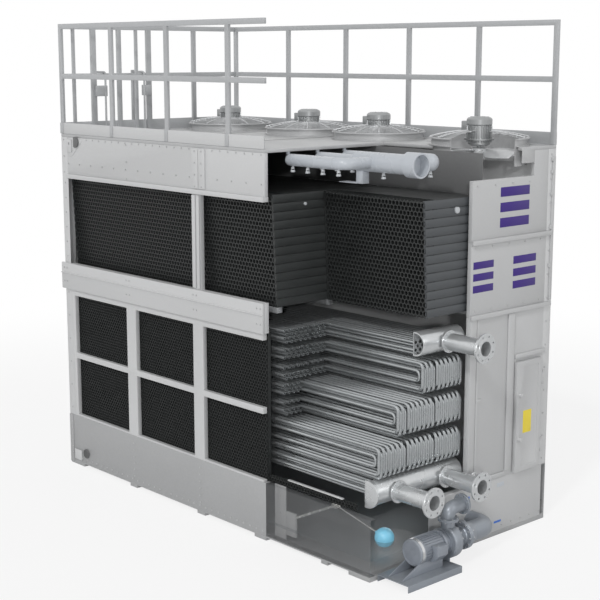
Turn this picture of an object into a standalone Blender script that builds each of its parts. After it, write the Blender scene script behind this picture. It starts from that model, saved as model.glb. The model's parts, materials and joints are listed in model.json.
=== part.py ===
"""Closed-circuit cooling tower, shown with one corner cut away.

Units are metres, +Z is up and the ground is Z = 0. The origin is the centre of
the tower's plan on the ground. +X runs along the long side to the pump end,
-Y is the air inlet side and +Y is the plenum side, under the row of fans.
"""

import math

import bmesh
import bpy
from mathutils import Matrix, Vector

# Clearance between pieces that touch
GAP = 0.0003

# Overall body
LENGTH = 4.49
WIDTH = 2.33
HALF_LENGTH = LENGTH / 2
HALF_WIDTH = WIDTH / 2
BASE_HEIGHT = 0.03
BASIN_TOP = 0.54
MODULE_JOINT = 2.07
DECK_TOP = 3.50
DECK_THICKNESS = 0.03
DECK_LOW = DECK_TOP - DECK_THICKNESS
POST_SIZE = 0.105
POST_SHEET = 0.006
PANEL_DEPTH = 0.04
PANEL_SHEET = 0.004
PANEL_FLANGE = 0.045

# Cutaway corner
CUT_X = 0.94
SCREEN_CUT_X = 0.91
END_PANEL_START_Y = 0.43775 - 0.35 * HALF_WIDTH
END_PANEL_SPLIT = MODULE_JOINT + 0.65
END_PANEL_TOP = DECK_TOP - 0.255
END_PANEL_RISE_Y = HALF_WIDTH - 0.305
BASIN_END_CUT_Y = 0.715 - HALF_WIDTH

# Basin
BASIN_WALL = 0.006
BASIN_FLOOR = 0.012
FLOOR_TOP = BASE_HEIGHT + BASIN_FLOOR
RUNNERS = ((-2.12, 0.25), (-1.10, 0.12), (0.0, 0.12), (0.86, 0.16), (1.70, 0.08), (2.12, 0.25))
BASIN_FLANGE = 0.06
WINDOW_THICKNESS = 0.008
INNER_POST_X = 1.07
INNER_POST_WIDTH = 0.148
INNER_POST_SHEET = 0.006

# Air inlet frame and screens
FRAME_DEPTH = 0.045
FRAME_SILL = 0.02
FRAME_HEAD = 0.065
MID_RAIL_LOW = 1.168
MID_RAIL_HIGH = 1.226
BAY_EDGES = ((-2.08, -1.156), (-1.002, -0.087), (0.063, 0.91))
SCREEN_THICKNESS = 0.05
SCREEN_RIB = 0.019
SCREEN_RIB_WIDTH = 0.03
SCREEN_RIB_COUNT = 7
STRIP_END_X = 2.0
STRIP_HEIGHT = 0.06

# Belt beam between the two modules
BELT_REACH = 0.028
BELT_LOW = MODULE_JOINT - 0.172
BELT_HEIGHT = 0.272
BELT_HIGH = BELT_LOW + BELT_HEIGHT
BELT_SPLIT_RISE = 0.168
BELT_LIP = 0.012

# Upper front
UPPER_POST_EDGES = ((-2.14, -0.067), (0.045, CUT_X))
LEDGE_LOW = DECK_TOP - 0.45
LEDGE_HIGH = DECK_TOP - 0.405
LEDGE_REACH = 0.02
FRONT_STRIPS = ((-0.05, 0.042), (0.048, 0.138))
FRONT_STRIP_REACH = 0.006
LIFT_PLATE = ((-2.13, 0.22), (-2.05, 0.22), (-1.87, 0.07), (-1.87, 0.035), (-2.13, 0.035))

# Plenum wall between the spray space and the fans
FAN_Y = HALF_WIDTH - 0.485
WALL_Y = FAN_Y - 0.475
WALL_SHEET = 0.006

# Fill pack
FILL_FRONT_Y = 0.07 - HALF_WIDTH
FILL_BACK_Y = WALL_Y - 0.015
FILL_CUT_X = 0.97
FILL_CUT_Y = FILL_FRONT_Y + 0.595
FILL_BOTTOM = MODULE_JOINT + 0.05
FILL_TOP = DECK_TOP - 0.39
FILL_LEAN = 0.05
FILL_END_X = HALF_LENGTH - 0.055
FILL_LAYERS = 13
LAYER_BULGE = 0.012
FILL_RIB = 0.035
FILL_RIB_WIDTH = 0.04
FILL_RIB_COUNT = 5
BEARER_HEIGHT = 0.05
BEARER_DEPTH = 0.06
BEARER_FRONT_Y = FILL_FRONT_Y + 0.045
CROSS_BEARER_X = (-1.6, -0.5, 0.6)
SHORT_BEARER_X = (1.2, 1.9)
SHORT_BEARER_Y = -0.20

# Access door
DOOR_LOW = BASIN_TOP + 0.015
DOOR_HEIGHT = 1.03
DOOR_HIGH = DOOR_LOW + DOOR_HEIGHT
DOOR_LEFT_Y = HALF_WIDTH - 0.51
DOOR_RIGHT_Y = HALF_WIDTH - 0.145
DOOR_THICKNESS = 0.03
DOOR_FIELD_INSET = 0.05
DOOR_FIELD_DEPTH = 0.005
DOOR_GAP = 0.006
HINGE_Z = (DOOR_LOW + 0.195, DOOR_HIGH - 0.195)
HINGE_RADIUS = 0.013
HINGE_OFFSET = 0.025
HINGE_PIN = 0.006
HINGE_BORE = 0.0068
HINGE_LENGTH = 0.09
HINGE_LUG = 0.02
KNOB_INSET = 0.05
KNOB_RADIUS = 0.02
KNOB_LENGTH = 0.035
KNOB_SHARES = (0.3, 0.7)
END_STRIP_Y = (END_PANEL_START_Y + 0.005, END_PANEL_START_Y + 0.09)
END_STRIP_REACH = 0.008

# Fans
FAN_EDGE = 0.49
FAN_INNER_X = 0.495
FAN_X = (FAN_EDGE - HALF_LENGTH, -FAN_INNER_X, FAN_INNER_X, HALF_LENGTH - FAN_EDGE)
DECK_CUT_Y = FAN_Y - 0.38
DECK_NOTCH_X = FAN_X[3] - 0.155
DECK_FLANGE_LOW = DECK_TOP - 0.14
FAN_INNER = 0.42
FAN_SHEET = 0.008
FAN_OUTER = FAN_INNER + FAN_SHEET
FAN_FLANGE = FAN_OUTER + 0.024
FAN_LOW = DECK_TOP - 0.17
FAN_TOP = DECK_TOP + 0.07
FAN_LIP = 0.008
FAN_HOLE_CLEARANCE = 0.01
FAN_SEGMENTS = 20
RING_CUT_RIGHT = 0.035
RING_CUT_BACK = 0.02
HUB_RADIUS = 0.065
HUB_LOW = DECK_TOP - 0.12
HUB_HIGH = DECK_TOP - 0.025
HUB_MIDDLE = (HUB_LOW + HUB_HIGH) / 2
BLADE_COUNT = 6
BLADE_ROOT = HUB_RADIUS - 0.015
BLADE_TIP = FAN_INNER - 0.02
BLADE_THICKNESS = 0.008
BLADE_CHORDS = (0.11, 0.17, 0.16)
BLADE_PITCHES = (32.0, 24.0, 17.0)
MOTOR_RADIUS = 0.115
MOTOR_LOW = DECK_TOP - 0.005
MOTOR_HIGH = DECK_TOP + 0.25
MOTOR_SHAFT = 0.02
MOTOR_BOX_REACH = 0.05
MOTOR_BOX_RISE = 0.125
MOTOR_BOX = (0.11, 0.12, 0.09)
GUARD_WIRE = 0.004
GUARD_BAND = 0.02
GUARD_BAND_HEIGHT = 0.006
GUARD_HUB = 0.09
GUARD_RISE = DECK_TOP + 0.155
GUARD_SPOKES = 6

# Railings and ladder
RAIL_HEIGHT = 1.10
RAIL_TOP = DECK_TOP + RAIL_HEIGHT
RAIL_MID = DECK_TOP + 0.605
TOE_TOP = DECK_TOP + 0.113
RAIL_SECTION = 0.05
RAIL_DEPTH = 0.03
TOE_SHEET = 0.006
RAIL_BAYS = 5
LEFT_POSTS = (
    (0.165 - HALF_WIDTH, 0.03),
    (0.405 - HALF_WIDTH, 0.06),
    (0.725 - HALF_WIDTH, 0.05),
    (0.945 - HALF_WIDTH, 0.03),
    (1.105 - HALF_WIDTH, 0.06),
    (HALF_WIDTH - 0.615, 0.05),
)
LADDER_Y = (0.525 - HALF_WIDTH, 1.02 - HALF_WIDTH)
LADDER_STANDOFF = 0.16
LADDER_TOP = RAIL_MID + 0.03
LADDER_PIPE = 0.02
HANDLE_PIPE = 0.011
HANDLE_INSET = 0.052
LADDER_RUNG = 0.012
LADDER_RUNG_PITCH = 0.30
LADDER_LOW = 0.35
LADDER_FOOT = 0.025
LADDER_FEET_Z = (0.9, DECK_TOP - 0.2)
CLAMP_LOW = DECK_TOP + 0.37
CLAMP_HEIGHT = 0.11

# Coil
COIL_LEFT_X = 0.05 - HALF_LENGTH
COIL_FACE_X = HALF_LENGTH - 0.065
TUBE_RADIUS = 0.0135
COIL_FRONT_Y = 0.175 - HALF_WIDTH
COIL_PITCH = 2 * TUBE_RADIUS + 0.0008
COIL_GROUPS = 3
GROUP_COLUMNS = 12
COIL_GROUP_GAP = 0.016
COIL_COLUMNS = COIL_GROUPS * GROUP_COLUMNS
BANK_COUNT = 3
BANK_PITCH = (MODULE_JOINT - BASIN_TOP - 0.57) / BANK_COUNT
BANK_LEVELS = tuple(BASIN_TOP + 0.44 + bank * BANK_PITCH for bank in range(BANK_COUNT))
BANK_CUT_COLUMNS = (0, 8, 18)
OUTER_ROW = 0.352 * BANK_PITCH
INNER_ROW = 0.141 * BANK_PITCH
STAGGER = 0.106 * BANK_PITCH
TUBE_CUT_X = 1.0
COIL_SHEET = 0.012
COIL_SHEET_MARGIN = 0.03

# Coil headers
HEADER_PLATE_X = HALF_LENGTH - 0.168
HEADER_RADIUS = 0.105
HEADER_SHEET = 0.012
HEADER_TOP_Z = MODULE_JOINT - 0.173
HEADER_TOP_Y = (COIL_FRONT_Y + 0.49, COIL_FRONT_Y + 1.01)
HEADER_LOW_Z = BASIN_TOP + 0.16
HEADER_LOW_Y = (COIL_FRONT_Y - 0.05, COIL_FRONT_Y + 1.01)
TOP_ROWS = (HEADER_TOP_Z - 0.0575, HEADER_TOP_Z + 0.01)
BOTTOM_ROWS = (HEADER_LOW_Z + 0.0075, HEADER_LOW_Z + 0.075)
HEADER_END = 0.011
HEADER_END_RADIUS = 0.118
NOZZLE_RADIUS = 0.075
NOZZLE_BORE = 0.063
COLLAR_RADIUS = 0.098
COLLAR_X = HALF_LENGTH - 0.03
COLLAR_THICKNESS = 0.014
FLANGE_RADIUS = 0.128
FLANGE_THICKNESS = 0.022
FLANGE_FACE_X = HALF_LENGTH + 0.375
TOP_NOZZLE_Y = (HEADER_TOP_Y[1] - 0.22,)
LOW_NOZZLE_Y = (HEADER_LOW_Y[0] + 0.24, HEADER_LOW_Y[1] - 0.22)

# Spray pipes
SPRAY_Z = DECK_TOP - 0.10
SPRAY_START_X = 0.90
SPRAY_RADIUS = 0.053
SPRAY_Y = (-0.87, -0.52, -0.19)
SPRAY_END_X = (1.72, 1.72, 1.80)
SPRAY_CROSS_X = 1.62
SPRAY_MAIN_X = (1.42, 2.10)
SPRAY_MAIN_RADIUS = 0.085
SPRAY_STUB_X = (1.70, 1.97)
SPRAY_STUB_RADIUS = 0.075
SPRAY_DOME = 0.055
SPRAY_SOCKET_X = (2.03, 2.16)
SPRAY_SOCKET_RADIUS = 0.106
SPRAY_SOCKET_BORE = 0.09
NOZZLE_PITCH = 0.19
NOZZLE_COUNT = 5
NOZZLE_DROP = 0.05
NOZZLE_TOP = 0.012
NOZZLE_FOOT = 0.022
HANGER_X = (0.905, 0.925)
HANGER_WIDTH = 0.03

# Pump set
PUMP_OFFSET = 0.185
PUMP_X = HALF_LENGTH + PUMP_OFFSET
PUMP_AXIS_Z = 0.235
PUMP_BASE_X = (PUMP_X - 0.168, PUMP_X + 0.185)
PUMP_BASE_Y = (0.075 - HALF_WIDTH, 0.735 - HALF_WIDTH)
PUMP_BASE_HEIGHT = 0.06
PUMP_BASE_SHEET = 0.008
PUMP_FOOT_FLANGE = 0.05
PUMP_MOTOR_Y = (PUMP_BASE_Y[0] + 0.23, PUMP_BASE_Y[0] + 0.56)
PUMP_MOTOR_RADIUS = 0.118
PUMP_GUSSETS = (-0.075, 0.075)
PUMP_GUSSET_SHEET = 0.012
PUMP_GUSSET = (
    (PUMP_BASE_Y[0] + 0.03, 0.0),
    (PUMP_MOTOR_Y[1] - 0.03, 0.0),
    (PUMP_MOTOR_Y[1] - 0.03, 0.10),
    (PUMP_MOTOR_Y[0] + 0.02, 0.10),
)
PUMP_BOX_Y = (PUMP_MOTOR_Y[0] + 0.14, PUMP_MOTOR_Y[0] + 0.27)
PUMP_BOX = ((0.06, 0.055), (0.165, 0.055), (0.165, -0.03), (0.11, -0.09), (0.06, -0.09))
PUMP_NECK_RADIUS = 0.10
VOLUTE_Y = (PUMP_MOTOR_Y[1] + 0.07, PUMP_MOTOR_Y[1] + 0.17)
VOLUTE_RADII = (0.135, 0.165)
VOLUTE_STEPS = 18
VOLUTE_COVER_RADIUS = 0.12
VOLUTE_COVER = 0.015
EYE_FLANGE_Y = (VOLUTE_Y[0] + 0.21, VOLUTE_Y[0] + 0.232)
EYE_RADIUS = 0.075
PUMP_FLANGE_RADIUS = 0.125
PUMP_STAND = 0.05
DISCHARGE_RADIUS = 0.06
DISCHARGE_RISE = 0.175
DISCHARGE_FLANGE = 0.09
DISCHARGE_FLANGE_THICKNESS = 0.024
ELBOW_RISE = 0.28
ELBOW_BEND = 0.075
ELBOW_END_Y = VOLUTE_Y[0] + 0.24
SUCTION_RADIUS = 0.088
SUCTION_NECK_Y = EYE_FLANGE_Y[0] + 0.12
SUCTION_TURN_Y = SUCTION_NECK_Y + 0.15
SUCTION_END_Y = SUCTION_TURN_Y + 0.08

# Float valve
FLOAT_RADIUS = 0.086
FLOAT_CENTRE = (HALF_LENGTH - 0.295, -0.6865, 0.193)
FLOAT_PIVOT = (HALF_LENGTH - 0.865, -0.6865, 0.32)
FLOAT_ROD = 0.006
FLOAT_FORK = 0.014
FLOAT_CHEEK = 0.003
FLOAT_EYE = 0.01
VALVE_BODY = (0.07, 0.02)
VALVE_PIPE = 0.012


def clear_scene():
    """Remove what the new file starts with."""
    for old in list(bpy.context.scene.objects):
        bpy.data.objects.remove(old, do_unlink=True)


def make_collections():
    """Return the collection of parts."""
    parts = bpy.data.collections.new("cooling_tower")
    bpy.context.scene.collection.children.link(parts)
    return parts


def make_material(name, color, roughness, metallic, alpha=1.0):
    """Return a plain Principled material."""
    material = bpy.data.materials.new(name)
    material.use_nodes = True
    shader = material.node_tree.nodes["Principled BSDF"]
    shader.inputs["Base Color"].default_value = (*color, 1.0)
    shader.inputs["Roughness"].default_value = roughness
    shader.inputs["Metallic"].default_value = metallic
    shader.inputs["Alpha"].default_value = alpha
    return material


def level_out(bm):
    """Round every corner to a hundredth of a millimetre, which keeps long sides flat."""
    for vert in bm.verts:
        vert.co = [round(value, 5) for value in vert.co]


def mesh_object(name, bm):
    """Turn a bmesh into an object in the scene."""
    bmesh.ops.recalc_face_normals(bm, faces=bm.faces)
    mesh = bpy.data.meshes.new(name)
    bm.to_mesh(mesh)
    bm.free()
    thing = bpy.data.objects.new(name, mesh)
    bpy.context.scene.collection.objects.link(thing)
    return thing


def box(low, high, name="box"):
    """A box between two corners."""
    bm = bmesh.new()
    size = Vector(high) - Vector(low)
    centre = (Vector(high) + Vector(low)) / 2
    matrix = Matrix.Translation(centre) @ Matrix.Diagonal((*size, 1.0))
    bmesh.ops.create_cube(bm, size=1.0, matrix=matrix)
    return mesh_object(name, bm)


def rod(start, end, radius, sides=16, end_radius=None, name="rod"):
    """A cylinder or cone between two points."""
    start = Vector(start)
    end = Vector(end)
    run = end - start
    turn = run.to_track_quat("Z", "Y").to_matrix().to_4x4()
    matrix = Matrix.Translation((start + end) / 2) @ turn
    bm = bmesh.new()
    bmesh.ops.create_cone(
        bm,
        cap_ends=True,
        segments=sides,
        radius1=radius,
        radius2=radius if end_radius is None else end_radius,
        depth=run.length,
        matrix=matrix,
    )
    level_out(bm)
    return mesh_object(name, bm)


def ball(centre, radius, name="ball"):
    """A sphere."""
    bm = bmesh.new()
    bmesh.ops.create_uvsphere(
        bm, u_segments=16, v_segments=10, radius=radius, matrix=Matrix.Translation(centre)
    )
    return mesh_object(name, bm)


def curve_to_mesh(thing):
    """Replace a curve object by a closed mesh object."""
    bpy.context.view_layer.update()
    graph = bpy.context.evaluated_depsgraph_get()
    mesh = bpy.data.meshes.new_from_object(thing.evaluated_get(graph))
    bm = bmesh.new()
    bm.from_mesh(mesh)
    bmesh.ops.remove_doubles(bm, verts=bm.verts, dist=0.00001)
    bmesh.ops.transform(bm, matrix=thing.matrix_world, verts=bm.verts)
    level_out(bm)
    bpy.data.meshes.remove(mesh)
    name = thing.name
    bpy.data.objects.remove(thing, do_unlink=True)
    return mesh_object(name, bm)


def tube(points, radius, resolution=0, name="tube"):
    """A round bar along a path of points, mitred at its corners."""
    path = [Vector(point) for point in points]
    runs = [(after - before).normalized() for before, after in zip(path, path[1:])]
    rise = Vector((0.0, 0.0, 1.0)) if abs(runs[0].z) < 0.9 else Vector((0.0, 1.0, 0.0))
    across = runs[0].cross(rise).normalized()
    rise = across.cross(runs[0])
    sides = 4 + 2 * resolution
    corners = []
    for step in range(sides):
        angle = math.tau * step / sides
        corners.append(path[0] + radius * (math.cos(angle) * across + math.sin(angle) * rise))
    bm = bmesh.new()
    rings = [[bm.verts.new(corner) for corner in corners]]
    for index in range(1, len(path)):
        run = runs[index - 1]
        onward = runs[min(index, len(runs) - 1)]
        mitre = (run + onward).normalized()
        corners = [
            corner + run * ((path[index] - corner).dot(mitre) / run.dot(mitre))
            for corner in corners
        ]
        rings.append([bm.verts.new(corner) for corner in corners])
    for first, second in zip(rings, rings[1:]):
        for side in range(sides):
            after = (side + 1) % sides
            bm.faces.new((first[side], first[after], second[after], second[side]))
    bm.faces.new(rings[0])
    bm.faces.new(rings[-1])
    level_out(bm)
    return mesh_object(name, bm)


def outline(points, axis, low, high, name="outline"):
    """A flat outline, drawn across one axis and extruded along it."""
    curve = bpy.data.curves.new(name, "CURVE")
    curve.dimensions = "2D"
    curve.fill_mode = "BOTH"
    curve.extrude = (high - low) / 2
    spline = curve.splines.new("POLY")
    spline.points.add(len(points) - 1)
    for point, place in zip(spline.points, points):
        point.co = (place[0], place[1], 0.0, 1.0)
    spline.use_cyclic_u = True
    thing = bpy.data.objects.new(name, curve)
    bpy.context.scene.collection.objects.link(thing)
    middle = (low + high) / 2
    frames = {
        "X": Matrix(((0, 0, 1, middle), (1, 0, 0, 0), (0, 1, 0, 0), (0, 0, 0, 1))),
        "Y": Matrix(((1, 0, 0, 0), (0, 0, -1, middle), (0, 1, 0, 0), (0, 0, 0, 1))),
        "Z": Matrix(((1, 0, 0, 0), (0, 1, 0, 0), (0, 0, 1, middle), (0, 0, 0, 1))),
    }
    thing.matrix_world = frames[axis]
    return curve_to_mesh(thing)


def turned(profile, centre, segments, name="turned"):
    """A shape turned about a vertical axis from a closed profile of (radius, height)."""
    mesh = bpy.data.meshes.new(name)
    count = len(profile)
    edges = [(i, (i + 1) % count) for i in range(count)]
    mesh.from_pydata([(radius, 0.0, height) for radius, height in profile], edges, [])
    thing = bpy.data.objects.new(name, mesh)
    bpy.context.scene.collection.objects.link(thing)
    screw = thing.modifiers.new("turn", "SCREW")
    screw.steps = segments
    screw.render_steps = segments
    screw.use_merge_vertices = True
    screw.merge_threshold = 0.0001
    thing.location = centre
    return apply_modifiers(thing)


def apply_modifiers(thing):
    """Bake an object's modifiers and place into a new mesh object."""
    bpy.context.view_layer.update()
    graph = bpy.context.evaluated_depsgraph_get()
    mesh = bpy.data.meshes.new_from_object(thing.evaluated_get(graph))
    bm = bmesh.new()
    bm.from_mesh(mesh)
    bmesh.ops.transform(bm, matrix=thing.matrix_world, verts=bm.verts)
    name = thing.name
    bpy.data.meshes.remove(mesh)
    bpy.data.objects.remove(thing, do_unlink=True)
    return mesh_object(name, bm)


def together(things):
    """Join shapes that do not touch into one object."""
    bm = bmesh.new()
    for thing in things:
        bm.from_mesh(thing.data)
        bpy.data.objects.remove(thing, do_unlink=True)
    return mesh_object("together", bm)


def boolean(base, tool, operation):
    """Combine two objects with the exact solver and remove the tool."""
    modifier = base.modifiers.new("combine", "BOOLEAN")
    modifier.operation = operation
    modifier.solver = "EXACT"
    modifier.object = tool
    result = apply_modifiers(base)
    bpy.data.objects.remove(tool, do_unlink=True)
    return result


def union(base, *tools):
    """Fuse shapes one after the other."""
    for tool in tools:
        base = boolean(base, tool, "UNION")
    return base


def cut(base, *tools):
    """Cut shapes away one after the other."""
    for tool in tools:
        base = boolean(base, tool, "DIFFERENCE")
    return base


def finish(thing, name, material, parts, smooth=False, pivot=None):
    """Name a finished piece, dress it and put it in the collection of parts."""
    thing.name = name
    thing.data.name = name
    thing.data.materials.clear()
    thing.data.materials.append(material)
    if smooth:
        thing.data.shade_smooth()
        thing.data.set_sharp_from_angle(angle=math.radians(35))
    for owner in list(thing.users_collection):
        owner.objects.unlink(thing)
    parts.objects.link(thing)
    if pivot is not None:
        thing.data.transform(Matrix.Translation(-Vector(pivot)))
        thing.location = pivot
    return thing


def angle_post(x_side, y_side, low, high):
    """A corner post of folded sheet with its two legs on the outer faces."""
    x_out = x_side * HALF_LENGTH
    y_out = y_side * HALF_WIDTH
    points = (
        (x_out, y_out),
        (x_out - x_side * POST_SIZE, y_out),
        (x_out - x_side * POST_SIZE, y_out - y_side * POST_SHEET),
        (x_out - x_side * POST_SHEET, y_out - y_side * POST_SHEET),
        (x_out - x_side * POST_SHEET, y_out - y_side * POST_SIZE),
        (x_out, y_out - y_side * POST_SIZE),
    )
    return outline(points, "Z", low, high)


def tray(low, high, axis, side):
    """A sheet panel with flanges folded inwards; axis and side give its outer face."""
    shell = box(low, high)
    inner_low = list(low)
    inner_high = list(high)
    for other in range(3):
        if other != axis:
            inner_low[other] += PANEL_SHEET
            inner_high[other] -= PANEL_SHEET
    if side > 0:
        inner_high[axis] -= PANEL_SHEET
        inner_low[axis] -= PANEL_DEPTH
    else:
        inner_low[axis] += PANEL_SHEET
        inner_high[axis] += PANEL_DEPTH
    return cut(shell, box(inner_low, inner_high))


def slab(x, y, z):
    """A box given by its reach along each axis."""
    return box((x[0], y[0], z[0]), (x[1], y[1], z[1]))


def common(base, tool):
    """Keep what two shapes share."""
    return boolean(base, tool, "INTERSECT")


def build_basin(materials, parts):
    """Water basin: floor on runners, walls with flanges, and the clear corner."""
    floor = box(
        (-HALF_LENGTH, -HALF_WIDTH, BASE_HEIGHT), (HALF_LENGTH, HALF_WIDTH, FLOOR_TOP)
    )
    runners = [
        box(
            (centre - width / 2, -HALF_WIDTH, 0.0),
            (centre + width / 2, HALF_WIDTH, BASE_HEIGHT + BASIN_FLOOR / 2),
        )
        for centre, width in RUNNERS
    ]
    back = -HALF_WIDTH + BASIN_FLANGE + GAP
    inner_post = box(
        (INNER_POST_X - INNER_POST_WIDTH / 2, back, BASE_HEIGHT + BASIN_FLOOR / 2),
        (INNER_POST_X + INNER_POST_WIDTH / 2, back + INNER_POST_SHEET, BASIN_TOP),
    )
    floor = union(floor, together(runners), inner_post)
    finish(floor, "basin_floor", materials["steel"], parts)

    low = FLOOR_TOP + GAP
    high = BASIN_TOP

    def wall(name, start, end, face, material, thickness=BASIN_WALL):
        """One basin wall with a foot flange and a top flange folded inwards."""
        along = 0 if face[0] == "y" else 1
        across = 1 - along
        sign = 1 if face[1] == "+" else -1
        outer = sign * (HALF_WIDTH if along == 0 else HALF_LENGTH)
        inner = outer - sign * thickness
        lip = outer - sign * BASIN_FLANGE

        def corner(run, cross, height):
            place = [0.0, 0.0, height]
            place[along] = run
            place[across] = cross
            return place

        def plate(first, second, bottom, top):
            return box(
                corner(start, min(first, second), bottom), corner(end, max(first, second), top)
            )

        body = plate(outer, inner, low, high)
        foot = plate(outer, lip, low, low + thickness)
        head = plate(outer, lip, high - thickness, high)
        finish(union(body, foot, head), name, materials[material], parts)

    side = HALF_WIDTH - BASIN_FLANGE - GAP
    wall("basin_front_panel", -HALF_LENGTH, CUT_X - GAP, "y-", "steel")
    wall("basin_front_window", CUT_X, HALF_LENGTH, "y-", "clear", WINDOW_THICKNESS)
    wall("basin_back_panel", -HALF_LENGTH, HALF_LENGTH, "y+", "steel")
    wall("basin_left_panel", -side, side, "x-", "steel")
    wall("basin_end_panel", BASIN_END_CUT_Y, side, "x+", "steel")
    wall("basin_end_window", -side, BASIN_END_CUT_Y - GAP, "x+", "clear", WINDOW_THICKNESS)


def build_posts(materials, parts):
    """Corner posts; the cut corner has none."""
    low = BASIN_TOP + GAP
    high = DECK_LOW - GAP
    for name, x_side, y_side in (
        ("post_front_left", -1, -1),
        ("post_back_left", -1, 1),
        ("post_back_right", 1, 1),
    ):
        finish(angle_post(x_side, y_side, low, high), name, materials["steel"], parts)


def inlet_screen(x0, x1, front, low, high):
    """One screen with its main ribs on the outer face."""
    points = [(front + SCREEN_THICKNESS, low), (front + SCREEN_THICKNESS, high)]
    pitch = (high - low - SCREEN_RIB_WIDTH) / (SCREEN_RIB_COUNT - 1)
    for index in reversed(range(SCREEN_RIB_COUNT)):
        foot = low + index * pitch
        if index < SCREEN_RIB_COUNT - 1:
            points.append((front + SCREEN_RIB, foot + SCREEN_RIB_WIDTH))
        points.append((front, foot + SCREEN_RIB_WIDTH))
        points.append((front, foot))
        if index > 0:
            points.append((front + SCREEN_RIB, foot))
    return outline(points, "X", x0, x1)


def build_front(materials, parts):
    """Air inlet side: frame, screens, belt, upper frame and upper panel."""
    front = -HALF_WIDTH
    left = -HALF_LENGTH + POST_SIZE + GAP
    low = BASIN_TOP + GAP
    frame = box((left, front, low), (SCREEN_CUT_X, front + FRAME_DEPTH, BELT_LOW - GAP))
    rows = (
        (low + FRAME_SILL, MID_RAIL_LOW),
        (MID_RAIL_HIGH, BELT_LOW - FRAME_HEAD),
    )
    holes = []
    for start, end in BAY_EDGES:
        for bottom, top in rows:
            reach = end if end < SCREEN_CUT_X else end + FRAME_DEPTH
            holes.append(
                box((start, front - FRAME_DEPTH, bottom), (reach, front + 2 * FRAME_DEPTH, top))
            )
    frame = cut(frame, together(holes))
    finish(frame, "inlet_frame", materials["panel"], parts)

    screen_front = front + FRAME_DEPTH + GAP
    mids = [(BAY_EDGES[i][1] + BAY_EDGES[i + 1][0]) / 2 for i in range(len(BAY_EDGES) - 1)]
    edges = [left] + mids + [SCREEN_CUT_X]
    for index in range(len(BAY_EDGES)):
        screen = inlet_screen(
            edges[index] + GAP, edges[index + 1] - GAP, screen_front, low, BELT_LOW - GAP
        )
        if index == len(BAY_EDGES) - 1:
            strip = slab(
                (SCREEN_CUT_X - SCREEN_THICKNESS, STRIP_END_X),
                (screen_front + SCREEN_RIB, screen_front + SCREEN_THICKNESS - GAP),
                (low, low + STRIP_HEIGHT),
            )
            screen = union(screen, strip)
        finish(screen, f"inlet_screen_{index + 1}", materials["screen"], parts)

    belt = box(
        (-HALF_LENGTH - BELT_REACH, front - BELT_REACH, BELT_LOW),
        (CUT_X, front - GAP, BELT_HIGH),
    )
    split = BELT_LOW + BELT_SPLIT_RISE
    lip = box(
        (-HALF_LENGTH - BELT_REACH, front - BELT_REACH - BELT_LIP, split - BELT_LIP / 2),
        (CUT_X, front - BELT_REACH / 2, split + BELT_LIP / 2),
    )
    finish(union(belt, lip), "belt_beam", materials["panel"], parts)

    upper = box(
        (left, front, BELT_LOW + GAP), (CUT_X, front + FRAME_DEPTH, LEDGE_HIGH)
    )
    openings = []
    for start, end in UPPER_POST_EDGES:
        reach = end if end < CUT_X else end + FRAME_DEPTH
        openings.append(
            box(
                (start, front - FRAME_DEPTH, BELT_HIGH),
                (reach, front + 2 * FRAME_DEPTH, LEDGE_LOW),
            )
        )
    upper = cut(upper, together(openings))
    ledge = box(
        (left, front - LEDGE_REACH, LEDGE_LOW), (CUT_X, front + FRAME_DEPTH / 2, LEDGE_HIGH)
    )
    finish(union(upper, ledge), "upper_frame", materials["panel"], parts)

    top = DECK_LOW - GAP
    panel = tray((left, front, LEDGE_HIGH + GAP), (CUT_X, front + PANEL_DEPTH, top), 1, -1)
    reach = (front - FRONT_STRIP_REACH, front + PANEL_SHEET / 2)
    strips = [slab(strip, reach, (LEDGE_HIGH + GAP, top)) for strip in FRONT_STRIPS]
    plate = outline([(x, DECK_TOP - drop) for x, drop in LIFT_PLATE], "Y", *reach)
    panel = union(panel, together(strips), plate)
    finish(panel, "upper_front_panel", materials["panel"], parts)


def build_back_and_left(materials, parts):
    """Closed sheet panels of the plenum side and of the far end."""
    start = -HALF_LENGTH + POST_SIZE + GAP
    levels = (
        ("lower", BASIN_TOP + GAP, MODULE_JOINT - GAP / 2),
        ("upper", MODULE_JOINT + GAP / 2, DECK_LOW - GAP),
    )
    for word, low, high in levels:
        back = tray((start, HALF_WIDTH - PANEL_DEPTH, low), (-start, HALF_WIDTH, high), 1, 1)
        finish(back, f"back_panel_{word}", materials["panel"], parts)
        side = HALF_WIDTH - POST_SIZE - GAP
        left = tray(
            (-HALF_LENGTH, -side, low), (-HALF_LENGTH + PANEL_DEPTH, side, high), 0, -1
        )
        finish(left, f"left_panel_{word}", materials["panel"], parts)


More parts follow.
